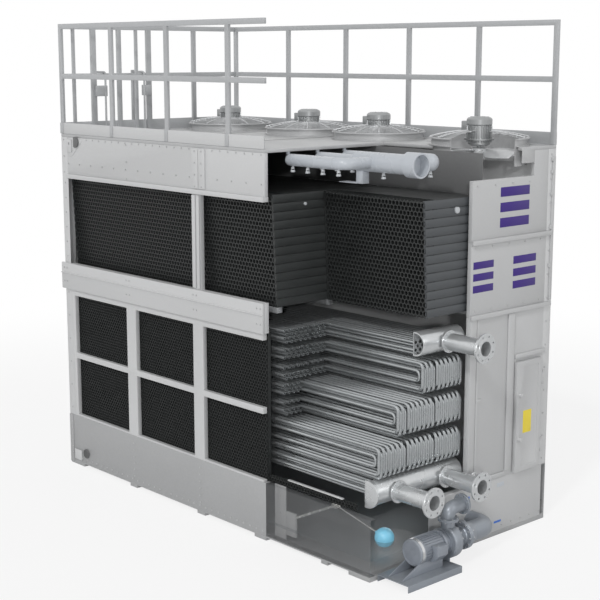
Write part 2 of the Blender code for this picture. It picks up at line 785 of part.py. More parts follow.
def build_pump_end(materials, parts):
    """End panels with the doorway and its door."""
    inner = HALF_LENGTH - PANEL_DEPTH
    right = HALF_WIDTH - POST_SIZE - GAP
    low = BASIN_TOP + GAP

    plain = tray(
        (inner, END_PANEL_START_Y, low),
        (HALF_LENGTH, DOOR_LEFT_Y - GAP, MODULE_JOINT - GAP / 2),
        0,
        1,
    )
    strip = slab(
        (HALF_LENGTH - PANEL_SHEET / 2, HALF_LENGTH + END_STRIP_REACH),
        END_STRIP_Y,
        (low, MODULE_JOINT - GAP / 2),
    )
    finish(union(plain, strip), "end_panel_lower", materials["panel"], parts)

    frame = box((inner, DOOR_LEFT_Y, low), (HALF_LENGTH, right, MODULE_JOINT - GAP / 2))
    hole = box(
        (inner - PANEL_DEPTH, DOOR_LEFT_Y + PANEL_FLANGE, DOOR_LOW + PANEL_FLANGE),
        (HALF_LENGTH + PANEL_DEPTH, right - PANEL_FLANGE, DOOR_HIGH - PANEL_FLANGE),
    )
    frame = cut(frame, hole)
    hinge_x = HALF_LENGTH + DOOR_GAP + DOOR_THICKNESS / 2
    hinge_y = DOOR_RIGHT_Y + HINGE_OFFSET
    lugs = []
    pins = []
    for height in HINGE_Z:
        reach = HINGE_LENGTH / 2 + GAP
        for start in (height - reach - HINGE_LUG, height + reach):
            lugs.append(
                box(
                    (HALF_LENGTH - PANEL_DEPTH / 2, hinge_y - HINGE_RADIUS, start),
                    (hinge_x + HINGE_RADIUS, hinge_y + HINGE_RADIUS, start + HINGE_LUG),
                )
            )
        pins.append(
            rod(
                (hinge_x, hinge_y, height - reach - HINGE_LUG / 2),
                (hinge_x, hinge_y, height + reach + HINGE_LUG / 2),
                HINGE_PIN, 12,
            )
        )
    frame = union(frame, together(lugs), together(pins))
    finish(frame, "door_frame", materials["panel"], parts)

    middle = tray(
        (inner, END_PANEL_START_Y, MODULE_JOINT + GAP / 2),
        (HALF_LENGTH, right, END_PANEL_SPLIT - GAP / 2),
        0,
        1,
    )
    finish(middle, "end_panel_middle", materials["panel"], parts)

    foot = END_PANEL_SPLIT + GAP / 2
    points = (
        (END_PANEL_START_Y, foot),
        (right, foot),
        (right, DECK_LOW - GAP),
        (END_PANEL_RISE_Y, DECK_LOW - GAP),
        (END_PANEL_RISE_Y, END_PANEL_TOP),
        (END_PANEL_START_Y, END_PANEL_TOP),
    )
    top = outline(points, "X", inner, HALF_LENGTH)
    finish(top, "end_panel_top", materials["panel"], parts)

    door_inner = HALF_LENGTH + DOOR_GAP
    door_outer = door_inner + DOOR_THICKNESS
    door = box((door_inner, DOOR_LEFT_Y + DOOR_GAP, DOOR_LOW), (door_outer, DOOR_RIGHT_Y, DOOR_HIGH))
    inset = DOOR_FIELD_INSET
    field = slab(
        (door_outer - DOOR_FIELD_DEPTH, door_outer + DOOR_FIELD_DEPTH),
        (DOOR_LEFT_Y + DOOR_GAP + 2 * inset, DOOR_RIGHT_Y - inset),
        (DOOR_LOW + inset, DOOR_HIGH - inset),
    )
    door = cut(door, field)
    knobs = []
    for share in KNOB_SHARES:
        height = DOOR_LOW + share * DOOR_HEIGHT
        knobs.append(
            rod(
                (door_outer - DOOR_THICKNESS / 2, DOOR_LEFT_Y + KNOB_INSET, height),
                (door_outer + KNOB_LENGTH, DOOR_LEFT_Y + KNOB_INSET, height),
                KNOB_RADIUS,
                12,
            )
        )
    barrels = []
    bores = []
    for height in HINGE_Z:
        low_end = height - HINGE_LENGTH / 2
        high_end = height + HINGE_LENGTH / 2
        barrels.append(
            union(
                rod((hinge_x, hinge_y, low_end), (hinge_x, hinge_y, high_end), HINGE_RADIUS, 12),
                box(
                    (hinge_x - HINGE_RADIUS / 2, DOOR_RIGHT_Y - DOOR_GAP, low_end),
                    (hinge_x + HINGE_RADIUS / 2, hinge_y, high_end),
                ),
            )
        )
        start = (hinge_x, hinge_y, low_end - HINGE_RADIUS)
        end = (hinge_x, hinge_y, high_end + HINGE_RADIUS)
        bores.append(rod(start, end, HINGE_BORE, 12))
    door = cut(union(door, together(knobs), together(barrels)), together(bores))
    finish(
        door, "access_door", materials["panel"], parts, pivot=(hinge_x, hinge_y, DOOR_LOW)
    )


def build_deck(materials, parts):
    """Fan deck with four round holes, cut back at the open corner."""
    points = (
        (-HALF_LENGTH, -HALF_WIDTH),
        (CUT_X, -HALF_WIDTH),
        (CUT_X, DECK_CUT_Y),
        (DECK_NOTCH_X, DECK_CUT_Y),
        (DECK_NOTCH_X, FAN_Y),
        (HALF_LENGTH, FAN_Y),
        (HALF_LENGTH, HALF_WIDTH),
        (-HALF_LENGTH, HALF_WIDTH),
    )
    deck = outline(points, "Z", DECK_LOW, DECK_TOP)
    reach = FAN_OUTER + FAN_HOLE_CLEARANCE
    holes = [
        rod((x, FAN_Y, DECK_LOW - reach), (x, FAN_Y, DECK_TOP + reach), reach, FAN_SEGMENTS)
        for x in FAN_X
    ]
    deck = cut(deck, together(holes))
    fascia = slab(
        (HALF_LENGTH - POST_SHEET, HALF_LENGTH),
        (FAN_Y, END_PANEL_RISE_Y - GAP),
        (DECK_FLANGE_LOW, DECK_TOP),
    )
    finish(union(deck, fascia), "fan_deck", materials["panel"], parts)

    wall = box(
        (-HALF_LENGTH + PANEL_DEPTH + GAP, WALL_Y - WALL_SHEET, FILL_TOP + GAP),
        (HALF_LENGTH - PANEL_DEPTH - GAP, WALL_Y, DECK_LOW - GAP),
    )
    finish(wall, "plenum_wall", materials["steel"], parts)


def fan_blade():
    """One blade along +X, twisted and with its widest chord near the middle."""
    places = (BLADE_ROOT, (BLADE_ROOT + BLADE_TIP) / 2, BLADE_TIP)
    bm = bmesh.new()
    rings = []
    for place, chord, pitch in zip(places, BLADE_CHORDS, BLADE_PITCHES):
        turn = Matrix.Rotation(math.radians(pitch), 3, "X")
        ring = []
        for side, rise in ((-1, -1), (1, -1), (1, 1), (-1, 1)):
            corner = Vector((0.0, side * chord / 2, rise * BLADE_THICKNESS / 2))
            ring.append(bm.verts.new(turn @ corner + Vector((place, 0.0, 0.0))))
        rings.append(ring)
    for first, second in zip(rings, rings[1:]):
        for index in range(4):
            after = (index + 1) % 4
            bm.faces.new((first[index], first[after], second[after], second[index]))
    bm.faces.new(rings[0])
    bm.faces.new(rings[-1])
    bmesh.ops.triangulate(bm, faces=bm.faces)
    return mesh_object("blade", bm)


def build_fans(materials, parts):
    """Four fans: ring, guard with motor, and rotor."""
    foot = DECK_TOP + GAP
    seat = FAN_TOP + GAP
    ring_profile = (
        (FAN_OUTER, FAN_LOW),
        (FAN_INNER, FAN_LOW),
        (FAN_INNER, FAN_TOP),
        (FAN_FLANGE, FAN_TOP),
        (FAN_FLANGE, FAN_TOP - FAN_LIP),
        (FAN_OUTER, FAN_TOP - FAN_LIP),
        (FAN_OUTER, foot + FAN_LIP),
        (FAN_FLANGE, foot + FAN_LIP),
        (FAN_FLANGE, foot),
        (FAN_OUTER, foot),
    )
    band_profile = (
        (FAN_FLANGE, seat),
        (FAN_FLANGE - GUARD_BAND, seat),
        (FAN_FLANGE - GUARD_BAND, seat + GUARD_BAND_HEIGHT),
        (FAN_FLANGE, seat + GUARD_BAND_HEIGHT),
    )
    for index, x in enumerate(FAN_X):
        number = index + 1
        ring = turned(ring_profile, (x, FAN_Y, 0.0), FAN_SEGMENTS)
        if number == len(FAN_X):
            quarter = slab(
                (x + RING_CUT_RIGHT, x + 2 * FAN_FLANGE),
                (FAN_Y - 2 * FAN_FLANGE, FAN_Y - RING_CUT_BACK),
                (FAN_LOW - FAN_LIP, FAN_TOP + FAN_LIP),
            )
            ring = cut(ring, quarter)
        finish(ring, f"fan_ring_{number}", materials["steel"], parts, smooth=True)

        hub = rod((x, FAN_Y, HUB_LOW), (x, FAN_Y, HUB_HIGH), HUB_RADIUS, 20)
        blades = []
        for turn in range(BLADE_COUNT):
            blade = fan_blade()
            place = Matrix.Translation((x, FAN_Y, HUB_MIDDLE))
            spin = Matrix.Rotation(turn * math.tau / BLADE_COUNT, 4, "Z")
            blade.data.transform(place @ spin)
            blades.append(blade)
        rotor = union(hub, *blades)
        finish(
            rotor,
            f"fan_rotor_{number}",
            materials["steel"],
            parts,
            smooth=True,
            pivot=(x, FAN_Y, HUB_MIDDLE),
        )

        motor = rod((x, FAN_Y, MOTOR_LOW), (x, FAN_Y, MOTOR_HIGH), MOTOR_RADIUS, 20)
        shaft = rod((x, FAN_Y, HUB_HIGH + GAP), (x, FAN_Y, MOTOR_LOW + MOTOR_SHAFT), MOTOR_SHAFT, 12)
        corner = Vector(
            (
                x - MOTOR_RADIUS - MOTOR_BOX_REACH,
                FAN_Y - MOTOR_RADIUS / 2,
                MOTOR_LOW + MOTOR_BOX_RISE,
            )
        )
        terminal = box(corner, corner + Vector(MOTOR_BOX))
        motor = union(motor, shaft, terminal)
        outer = turned(band_profile, (x, FAN_Y, 0.0), FAN_SEGMENTS)
        middle = FAN_FLANGE - GUARD_BAND / 2
        spokes = []
        for turn in range(GUARD_SPOKES):
            angle = (turn + 0.5) * math.tau / GUARD_SPOKES
            across = math.cos(angle)
            along = math.sin(angle)
            start = (x + middle * across, FAN_Y + middle * along, seat + GUARD_WIRE)
            end = (x + GUARD_HUB * across, FAN_Y + GUARD_HUB * along, GUARD_RISE)
            spokes.append(tube((start, end), GUARD_WIRE))
        motor = union(motor, together(spokes), outer)
        finish(motor, f"fan_motor_{number}", materials["steel"], parts)


def build_railings(materials, parts):
    """Railings of the front, back and left edges, and the ladder."""
    foot = DECK_TOP + GAP
    half = RAIL_SECTION / 2
    left_x = -HALF_LENGTH + half
    pitch = (LENGTH - RAIL_SECTION) / RAIL_BAYS

    def long_rail(outer, end_x, name):
        """A railing along X with posts at the bay pitch."""
        deep = outer - math.copysign(RAIL_DEPTH, outer)
        bars = []
        for height in (RAIL_TOP, RAIL_MID):
            bars.append(
                box(
                    (-HALF_LENGTH, min(outer, deep), height - RAIL_SECTION),
                    (end_x, max(outer, deep), height),
                )
            )
        inner = outer - math.copysign(TOE_SHEET, outer)
        toe = box(
            (-HALF_LENGTH, min(outer, inner), foot), (end_x, max(outer, inner), TOE_TOP)
        )
        posts = []
        for index in range(RAIL_BAYS + 1):
            x = left_x + index * pitch
            if x + half > end_x + RAIL_DEPTH:
                break
            posts.append(
                box(
                    (x - half, min(outer, deep), foot), (x + half, max(outer, deep), RAIL_TOP)
                )
            )
        rail = union(together(posts), together(bars), toe)
        finish(rail, name, materials["rail"], parts)

    long_rail(-HALF_WIDTH, CUT_X, "railing_front")
    long_rail(HALF_WIDTH, HALF_LENGTH, "railing_back")

    side = HALF_WIDTH - RAIL_DEPTH - GAP
    depth = (-HALF_LENGTH, -HALF_LENGTH + RAIL_DEPTH)
    bars = [
        slab(depth, (-side, side), (height - RAIL_SECTION, height)) for height in (RAIL_TOP, RAIL_MID)
    ]
    toe = box((-HALF_LENGTH, -side, foot), (-HALF_LENGTH + TOE_SHEET, side, TOE_TOP))
    posts = [
        slab(depth, (y - width / 2, y + width / 2), (foot, RAIL_TOP)) for y, width in LEFT_POSTS
    ]
    rail = union(together(posts), together(bars), toe)
    finish(rail, "railing_left", materials["rail"], parts)
    build_ladder(materials, parts)


def build_ladder(materials, parts):
    """Ladder of the left end, with handles that are clamped to the gate posts."""
    out = -HALF_LENGTH - LADDER_STANDOFF
    inside = -HALF_LENGTH + HANDLE_INSET
    rungs = []
    count = int((DECK_TOP - LADDER_LOW) / LADDER_RUNG_PITCH)
    for index in range(count):
        height = LADDER_LOW + LADDER_RUNG_PITCH / 3 + index * LADDER_RUNG_PITCH
        rungs.append(rod((out, LADDER_Y[0], height), (out, LADDER_Y[1], height), LADDER_RUNG, 6))
    poles = []
    handles = []
    feet = []
    clamps = []
    top = RAIL_MID + HANDLE_PIPE + 2 * GAP
    for y, post in zip(LADDER_Y, (LEFT_POSTS[1], LEFT_POSTS[4])):
        poles.append(rod((out, y, LADDER_LOW), (out, y, LADDER_TOP), LADDER_PIPE, 10))
        handles.append(
            tube(
                (
                    (out, y, top),
                    (inside, y, top),
                    (inside, y, DECK_TOP + GAP),
                ),
                HANDLE_PIPE,
                1,
            )
        )
        side = math.copysign(HANDLE_PIPE * 2, y - post[0])
        clamps.append(
            slab(
                (-HALF_LENGTH + RAIL_DEPTH + GAP, inside + HANDLE_PIPE / 2),
                (min(post[0], y + side), max(post[0], y + side)),
                (CLAMP_LOW, CLAMP_LOW + CLAMP_HEIGHT),
            )
        )
        for height in LADDER_FEET_Z:
            feet.append(
                box(
                    (out, y - LADDER_FOOT, height - LADDER_FOOT),
                    (-HALF_LENGTH - GAP, y + LADDER_FOOT, height + LADDER_FOOT),
                )
            )
    ladder = union(
        together(poles), together(rungs), together(feet), together(handles), together(clamps)
    )
    finish(ladder, "ladder", materials["rail"], parts)


def layered(x_low, x_high, low, high):
    """Front view of a fill block: flat layers with bulging ends."""
    step = (high - low) / FILL_LAYERS
    right = []
    left = []
    for layer in range(FILL_LAYERS):
        foot = low + layer * step
        for share, bulge in ((0.0, 1.0), (0.22, 0.0), (0.78, 0.0)):
            right.append((x_high - bulge * LAYER_BULGE, foot + share * step))
            left.append((x_low + bulge * LAYER_BULGE, foot + share * step))
    right.append((x_high - LAYER_BULGE, high))
    left.append((x_low + LAYER_BULGE, high))
    return outline(right + left[::-1], "Y", -HALF_WIDTH, HALF_WIDTH)


def fill_block(x_low, x_high, front_y):
    """A block of fill with a leaning, ribbed front and layered ends."""
    low = FILL_BOTTOM
    high = FILL_TOP

    def face(height):
        """Place of the leaning front at a height."""
        return front_y + FILL_LEAN * (high - height) / (high - low)

    points = [(FILL_BACK_Y, low), (FILL_BACK_Y, high)]
    pitch = (high - low - FILL_RIB_WIDTH) / (FILL_RIB_COUNT - 1)
    for index in reversed(range(FILL_RIB_COUNT)):
        foot = low + index * pitch
        top = foot + FILL_RIB_WIDTH
        if index < FILL_RIB_COUNT - 1:
            points.append((face(top) + FILL_RIB, top))
        points.append((face(top), top))
        points.append((face(foot), foot))
        if index > 0:
            points.append((face(foot) + FILL_RIB, foot))
    side_view = outline(points, "X", x_low - LAYER_BULGE, x_high + LAYER_BULGE)
    return common(side_view, layered(x_low, x_high, low - GAP, high + GAP))


def build_fill(materials, parts):
    """Two blocks of fill with leaning front faces, on their bearers."""
    finish(
        fill_block(-FILL_END_X, FILL_CUT_X, FILL_FRONT_Y), "fill_left", materials["fill"], parts
    )
    finish(
        fill_block(FILL_CUT_X + GAP, FILL_END_X, FILL_CUT_Y), "fill_right", materials["fill"], parts
    )

    top = FILL_BOTTOM - GAP
    foot = top - BEARER_HEIGHT
    start = -HALF_LENGTH + PANEL_DEPTH + GAP
    back = FILL_BACK_Y - BEARER_DEPTH
    middle = FILL_CUT_Y + BEARER_DEPTH
    bearers = [
        slab((start, FILL_CUT_X), (BEARER_FRONT_Y, BEARER_FRONT_Y + BEARER_DEPTH), (foot, top)),
        slab((start, FILL_CUT_X), (middle, middle + BEARER_DEPTH), (foot, top)),
        slab((start, -start), (back, FILL_BACK_Y), (foot, top)),
    ]
    inset = BEARER_HEIGHT / 10
    cross = [
        slab(
            (x, x + BEARER_DEPTH),
            (BEARER_FRONT_Y + BEARER_DEPTH / 2, back + BEARER_DEPTH / 2),
            (foot + inset, top - inset),
        )
        for x in CROSS_BEARER_X
    ]
    cross += [
        slab(
            (x, x + BEARER_DEPTH), (SHORT_BEARER_Y, back + BEARER_DEPTH / 2), (foot + inset, top - inset)
        )
        for x in SHORT_BEARER_X
    ]
    finish(
        union(together(bearers), together(cross)), "fill_bearers", materials["steel"], parts
    )


def column_y(column):
    """Place of one column of tubes across the tower."""
    return COIL_FRONT_Y + column * COIL_PITCH + (column // GROUP_COLUMNS) * COIL_GROUP_GAP


def tube_sheet(low, high):
    """The plate that carries the far ends of the tubes between two heights."""
    return box(
        (COIL_LEFT_X - COIL_SHEET / 2, column_y(0) - COIL_SHEET_MARGIN, low),
        (
            COIL_LEFT_X + COIL_SHEET / 2,
            column_y(COIL_COLUMNS - 1) + COIL_SHEET_MARGIN,
            high,
        ),
    )


def build_coil(materials, parts):
    """Three banks of nested hairpin tubes, each on its own tube sheet."""

    def hairpin(y, level, reach, face):
        """One hairpin about a level, with its bend at a place along the tower."""
        points = ((COIL_LEFT_X, y, level + reach), (face, y, level + reach))
        points += ((face, y, level - reach), (COIL_LEFT_X, y, level - reach))
        return tube(points, TUBE_RADIUS)

    outer_face = COIL_FACE_X - TUBE_RADIUS
    inner_face = outer_face - (OUTER_ROW - INNER_ROW) / 2
    for bank, level in enumerate(BANK_LEVELS):
        tubes = []
        for column in range(COIL_COLUMNS):
            y = column_y(column)
            middle = level - STAGGER * (column % 2)
            if column < BANK_CUT_COLUMNS[bank]:
                for height in (OUTER_ROW, INNER_ROW, -INNER_ROW, -OUTER_ROW):
                    start = (COIL_LEFT_X, y, middle + height)
                    tubes.append(tube((start, (TUBE_CUT_X, y, middle + height)), TUBE_RADIUS))
                continue
            tubes.append(hairpin(y, middle, OUTER_ROW, outer_face))
            if column % 2 == 0:
                tubes.append(hairpin(y, middle, INNER_ROW, inner_face))
        half = BANK_PITCH / 2 - GAP / 2
        coil = union(
            tube_sheet(level - STAGGER / 2 - half, level - STAGGER / 2 + half), together(tubes)
        )
        finish(coil, f"coil_bank_{bank + 1}", materials["tube"], parts, smooth=True)


def half_round(level, radius, plate_x, low, high):
    """A half-round bar along Y, flat on its left side."""
    steps = 8
    points = [(plate_x, level - radius), (plate_x, level + radius)]
    for step in range(steps + 1):
        angle = math.pi / 2 - math.pi * step / steps
        points.append(
            (plate_x + radius / 5 + radius * math.cos(angle), level + radius * math.sin(angle))
        )
    return outline(points, "Y", low, high)


def header(name, level, span, nozzles, rows, sheet_span, open_end, materials, parts):
    """A half-round header with its flanged nozzles."""
    body = half_round(level, HEADER_RADIUS, HEADER_PLATE_X, span[0], span[1])
    if open_end:
        hollow = half_round(
            level,
            HEADER_RADIUS - HEADER_SHEET,
            HEADER_PLATE_X + HEADER_SHEET,
            span[0] - HEADER_SHEET,
            span[1] - HEADER_SHEET,
        )
        body = cut(body, hollow)
    else:
        plate = half_round(
            level, HEADER_END_RADIUS, HEADER_PLATE_X - HEADER_END, span[0] - HEADER_END, span[0] + HEADER_END
        )
        body = union(body, plate)
    for y in nozzles:
        start = HEADER_PLATE_X + HEADER_RADIUS
        pipe = rod((start, y, level), (FLANGE_FACE_X, y, level), NOZZLE_RADIUS, 16)
        collar = rod(
            (COLLAR_X, y, level), (COLLAR_X + COLLAR_THICKNESS, y, level), COLLAR_RADIUS, 16
        )
        flange = rod(
            (FLANGE_FACE_X - FLANGE_THICKNESS, y, level), (FLANGE_FACE_X, y, level), FLANGE_RADIUS, 24
        )
        body = union(body, pipe, collar, flange)
        bore = rod(
            (start - HEADER_RADIUS / 2, y, level), (FLANGE_FACE_X + NOZZLE_BORE, y, level), NOZZLE_BORE, 16
        )
        body = cut(body, bore)
    tubes = []
    for column in range(COIL_COLUMNS):
        y = column_y(column)
        joined = y > span[0] + TUBE_RADIUS
        end = HEADER_PLATE_X + HEADER_SHEET / 2 if joined else TUBE_CUT_X
        for row in rows:
            height = row - STAGGER * (column % 2)
            tubes.append(tube(((COIL_LEFT_X, y, height), (end, y, height)), TUBE_RADIUS))
    body = union(together([body, tube_sheet(*sheet_span)]), together(tubes))
    finish(body, name, materials["tube"], parts, smooth=True)


def build_headers(materials, parts):
    """Inlet and outlet headers of the coil."""
    half = BANK_PITCH / 2 + GAP / 2
    above = (BANK_LEVELS[-1] - STAGGER / 2 + half, HEADER_TOP_Z + HEADER_RADIUS)
    below = (BASIN_TOP + GAP, BANK_LEVELS[0] - STAGGER / 2 - half)
    header(
        "header_upper", HEADER_TOP_Z, HEADER_TOP_Y, TOP_NOZZLE_Y, TOP_ROWS, above, True,
        materials, parts,
    )
    header(
        "header_lower", HEADER_LOW_Z, HEADER_LOW_Y, LOW_NOZZLE_Y, BOTTOM_ROWS, below, False,
        materials, parts,
    )


def spindle(stations, y, z, sides):
    """A round bar along X with its radius given at several places."""
    bm = bmesh.new()
    rings = []
    for x, radius in stations:
        ring = []
        for step in range(sides):
            angle = math.tau * (step + 0.5) / sides
            corner = (x, y + radius * math.cos(angle), z + radius * math.sin(angle))
            ring.append(bm.verts.new(corner))
        rings.append(ring)
    for first, second in zip(rings, rings[1:]):
        for index in range(sides):
            after = (index + 1) % sides
            bm.faces.new((first[index], first[after], second[after], second[index]))
    bm.faces.new(rings[0])
    bm.faces.new(rings[-1])
    return mesh_object("spindle", bm)


def domed(start_x, end_x, y, radius, sides):
    """A pipe along X with a domed end at its start."""
    sign = 1 if end_x > start_x else -1
    stations = (
        (start_x, radius * 0.35),
        (start_x + sign * SPRAY_DOME * 0.25, radius * 0.75),
        (start_x + sign * SPRAY_DOME, radius),
        (end_x, radius),
    )
    return spindle(stations, y, SPRAY_Z, sides)


def build_spray(materials, parts):
    """Spray branches with their nozzles, the main pipe and its socket."""
    pipes = rod(
        (SPRAY_CROSS_X, SPRAY_Y[0], SPRAY_Z), (SPRAY_CROSS_X, SPRAY_Y[-1], SPRAY_Z),
        SPRAY_RADIUS - 5 * GAP, 12,
    )
    branches = [
        domed(SPRAY_START_X, end, y, SPRAY_RADIUS, 12) for y, end in zip(SPRAY_Y, SPRAY_END_X)
    ]
    main = spindle(
        ((SPRAY_MAIN_X[0], SPRAY_MAIN_RADIUS), (SPRAY_MAIN_X[1], SPRAY_MAIN_RADIUS)),
        SPRAY_Y[1], SPRAY_Z, 16,
    )
    stub = domed(SPRAY_STUB_X[1] + SPRAY_DOME, SPRAY_STUB_X[0], SPRAY_Y[2], SPRAY_STUB_RADIUS, 14)
    socket = spindle(
        ((SPRAY_SOCKET_X[0], SPRAY_SOCKET_RADIUS), (SPRAY_SOCKET_X[1], SPRAY_SOCKET_RADIUS)),
        SPRAY_Y[1], SPRAY_Z, 20,
    )
    pipes = union(pipes, together(branches), together([main, stub]), socket)
    bore = spindle(
        (
            ((SPRAY_SOCKET_X[0] + SPRAY_MAIN_X[1]) / 2, SPRAY_SOCKET_BORE),
            (2 * SPRAY_SOCKET_X[1] - SPRAY_SOCKET_X[0], SPRAY_SOCKET_BORE),
        ),
        SPRAY_Y[1], SPRAY_Z, 20,
    )
    pipes = cut(pipes, bore)
    nozzles = []
    for y in SPRAY_Y:
        for index in range(NOZZLE_COUNT):
            place = SPRAY_START_X + SPRAY_DOME + NOZZLE_FOOT + index * NOZZLE_PITCH
            if abs(place - SPRAY_CROSS_X) < SPRAY_RADIUS or place > SPRAY_MAIN_X[0]:
                continue
            nozzles.append(
                rod(
                    (place, y, SPRAY_Z - SPRAY_RADIUS - NOZZLE_DROP),
                    (place, y, SPRAY_Z - SPRAY_RADIUS / 2),
                    NOZZLE_FOOT, 6, NOZZLE_TOP,
                )
            )
    hangers = [
        slab(
            (HANGER_X[0], HANGER_X[1]), (y - HANGER_WIDTH / 2, y + HANGER_WIDTH / 2),
            (SPRAY_Z, DECK_LOW - GAP),
        )
        for y in SPRAY_Y
    ]
    pipes = union(pipes, together(nozzles), together(hangers))
    finish(pipes, "spray_pipes", materials["plastic"], parts, smooth=True)


def volute_outline():
    """Outline of the pump's spiral casing in X and Z, growing towards the discharge."""
    points = []
    small, large = VOLUTE_RADII
    for step in range(VOLUTE_STEPS):
        share = step / (VOLUTE_STEPS - 1)
        angle = math.pi / 2 + share * math.tau * (VOLUTE_STEPS - 1) / VOLUTE_STEPS
        radius = small + share * (large - small)
        points.append((PUMP_X - radius * math.cos(angle), PUMP_AXIS_Z + radius * math.sin(angle)))
    return points


def build_pump(materials, parts):
    """Spray pump on its base, with suction and discharge pipes."""
    low = -PUMP_BASE_HEIGHT
    base = slab(PUMP_BASE_X, PUMP_BASE_Y, (0.0, PUMP_BASE_HEIGHT))
    tunnel = slab(
        (PUMP_BASE_X[0] + PUMP_BASE_SHEET, PUMP_BASE_X[1] - PUMP_BASE_SHEET),
        (PUMP_BASE_Y[0] - PUMP_FOOT_FLANGE, PUMP_BASE_Y[1] + PUMP_FOOT_FLANGE),
        (low, PUMP_BASE_HEIGHT - PUMP_BASE_SHEET),
    )
    finish(cut(base, tunnel), "pump_base", materials["steel"], parts)

    foot = PUMP_BASE_HEIGHT + GAP
    motor = rod(
        (PUMP_X, PUMP_MOTOR_Y[0], PUMP_AXIS_Z), (PUMP_X, PUMP_MOTOR_Y[1], PUMP_AXIS_Z),
        PUMP_MOTOR_RADIUS, 20,
    )
    gussets = [
        outline(
            [(y, foot + rise) for y, rise in PUMP_GUSSET],
            "X",
            PUMP_X + side - PUMP_GUSSET_SHEET / 2,
            PUMP_X + side + PUMP_GUSSET_SHEET / 2,
        )
        for side in PUMP_GUSSETS
    ]
    points = [(PUMP_X + x, PUMP_AXIS_Z + z) for x, z in PUMP_BOX]
    terminal = outline(points, "Y", *PUMP_BOX_Y)
    neck = rod(
        (PUMP_X, PUMP_MOTOR_Y[1] - NOZZLE_TOP, PUMP_AXIS_Z), (PUMP_X, VOLUTE_Y[0] - GAP, PUMP_AXIS_Z),
        PUMP_NECK_RADIUS, 16,
    )
    finish(
        union(motor, together(gussets), terminal, neck), "pump_motor", materials["pump"], parts,
        smooth=True,
    )
    build_casing(foot, materials, parts)

    pipe = tube(
        (
            (PUMP_X, SUCTION_NECK_Y, PUMP_AXIS_Z),
            (PUMP_X, SUCTION_TURN_Y, PUMP_AXIS_Z),
            (PUMP_X - SUCTION_RADIUS / 3, SUCTION_END_Y - SUCTION_RADIUS / 3, PUMP_AXIS_Z),
            (PUMP_X - SUCTION_RADIUS, SUCTION_END_Y, PUMP_AXIS_Z),
            (HALF_LENGTH + GAP, SUCTION_END_Y, PUMP_AXIS_Z),
        ),
        SUCTION_RADIUS,
        3,
    )
    reducer = rod(
        (PUMP_X, EYE_FLANGE_Y[1], PUMP_AXIS_Z), (PUMP_X, SUCTION_NECK_Y + GAP, PUMP_AXIS_Z),
        PUMP_FLANGE_RADIUS - PUMP_GUSSET_SHEET, 20, SUCTION_RADIUS,
    )
    collar = rod(
        (PUMP_X, EYE_FLANGE_Y[1] + GAP, PUMP_AXIS_Z),
        (PUMP_X, 2 * EYE_FLANGE_Y[1] - EYE_FLANGE_Y[0], PUMP_AXIS_Z),
        PUMP_FLANGE_RADIUS, 24,
    )
    trim = slab(
        (PUMP_X - 2 * PUMP_FLANGE_RADIUS, PUMP_X + 2 * PUMP_FLANGE_RADIUS),
        (EYE_FLANGE_Y[1] - PUMP_FLANGE_RADIUS, EYE_FLANGE_Y[1] + GAP),
        (0.0, 2 * PUMP_AXIS_Z),
    )
    suction = cut(union(pipe, reducer, collar), trim)
    finish(suction, "suction_pipe", materials["pump"], parts, smooth=True)


def build_casing(foot, materials, parts):
    """Spiral casing of the pump with its eye flange and the discharge elbow."""
    middle = (VOLUTE_Y[0] + VOLUTE_Y[1]) / 2
    volute = outline(volute_outline(), "Y", *VOLUTE_Y)
    cover = rod(
        (PUMP_X, VOLUTE_Y[1] - VOLUTE_COVER, PUMP_AXIS_Z),
        (PUMP_X, VOLUTE_Y[1] + VOLUTE_COVER, PUMP_AXIS_Z),
        VOLUTE_COVER_RADIUS, 18,
    )
    eye = rod(
        (PUMP_X, VOLUTE_Y[1] - GAP, PUMP_AXIS_Z),
        (PUMP_X, (EYE_FLANGE_Y[0] + EYE_FLANGE_Y[1]) / 2, PUMP_AXIS_Z),
        EYE_RADIUS, 14,
    )
    flange = rod(
        (PUMP_X, EYE_FLANGE_Y[0], PUMP_AXIS_Z), (PUMP_X, EYE_FLANGE_Y[1], PUMP_AXIS_Z),
        PUMP_FLANGE_RADIUS, 24,
    )
    stand = slab(
        (PUMP_X - PUMP_STAND, PUMP_X + PUMP_STAND),
        (VOLUTE_Y[0] + VOLUTE_COVER, PUMP_BASE_Y[1]),
        (foot, PUMP_AXIS_Z),
    )
    top = PUMP_AXIS_Z + ELBOW_RISE
    discharge = tube(
        (
            (PUMP_X, middle, PUMP_AXIS_Z + VOLUTE_COVER_RADIUS - VOLUTE_COVER / 2),
            (PUMP_X, middle, top - ELBOW_BEND),
            (PUMP_X, middle + ELBOW_BEND / 3, top - ELBOW_BEND / 3),
            (PUMP_X, middle + ELBOW_BEND, top),
            (PUMP_X, ELBOW_END_Y, top),
        ),
        DISCHARGE_RADIUS,
        2,
    )
    rise = PUMP_AXIS_Z + DISCHARGE_RISE
    ring = rod(
        (PUMP_X, middle, rise), (PUMP_X, middle, rise + DISCHARGE_FLANGE_THICKNESS), DISCHARGE_FLANGE, 20
    )
    mouth = rod(
        (PUMP_X, ELBOW_END_Y - DISCHARGE_FLANGE_THICKNESS, top), (PUMP_X, ELBOW_END_Y, top),
        DISCHARGE_FLANGE, 20,
    )
    finish(
        union(volute, cover, eye, flange, stand, discharge, ring, mouth), "pump_casing",
        materials["pump"], parts, True,
    )


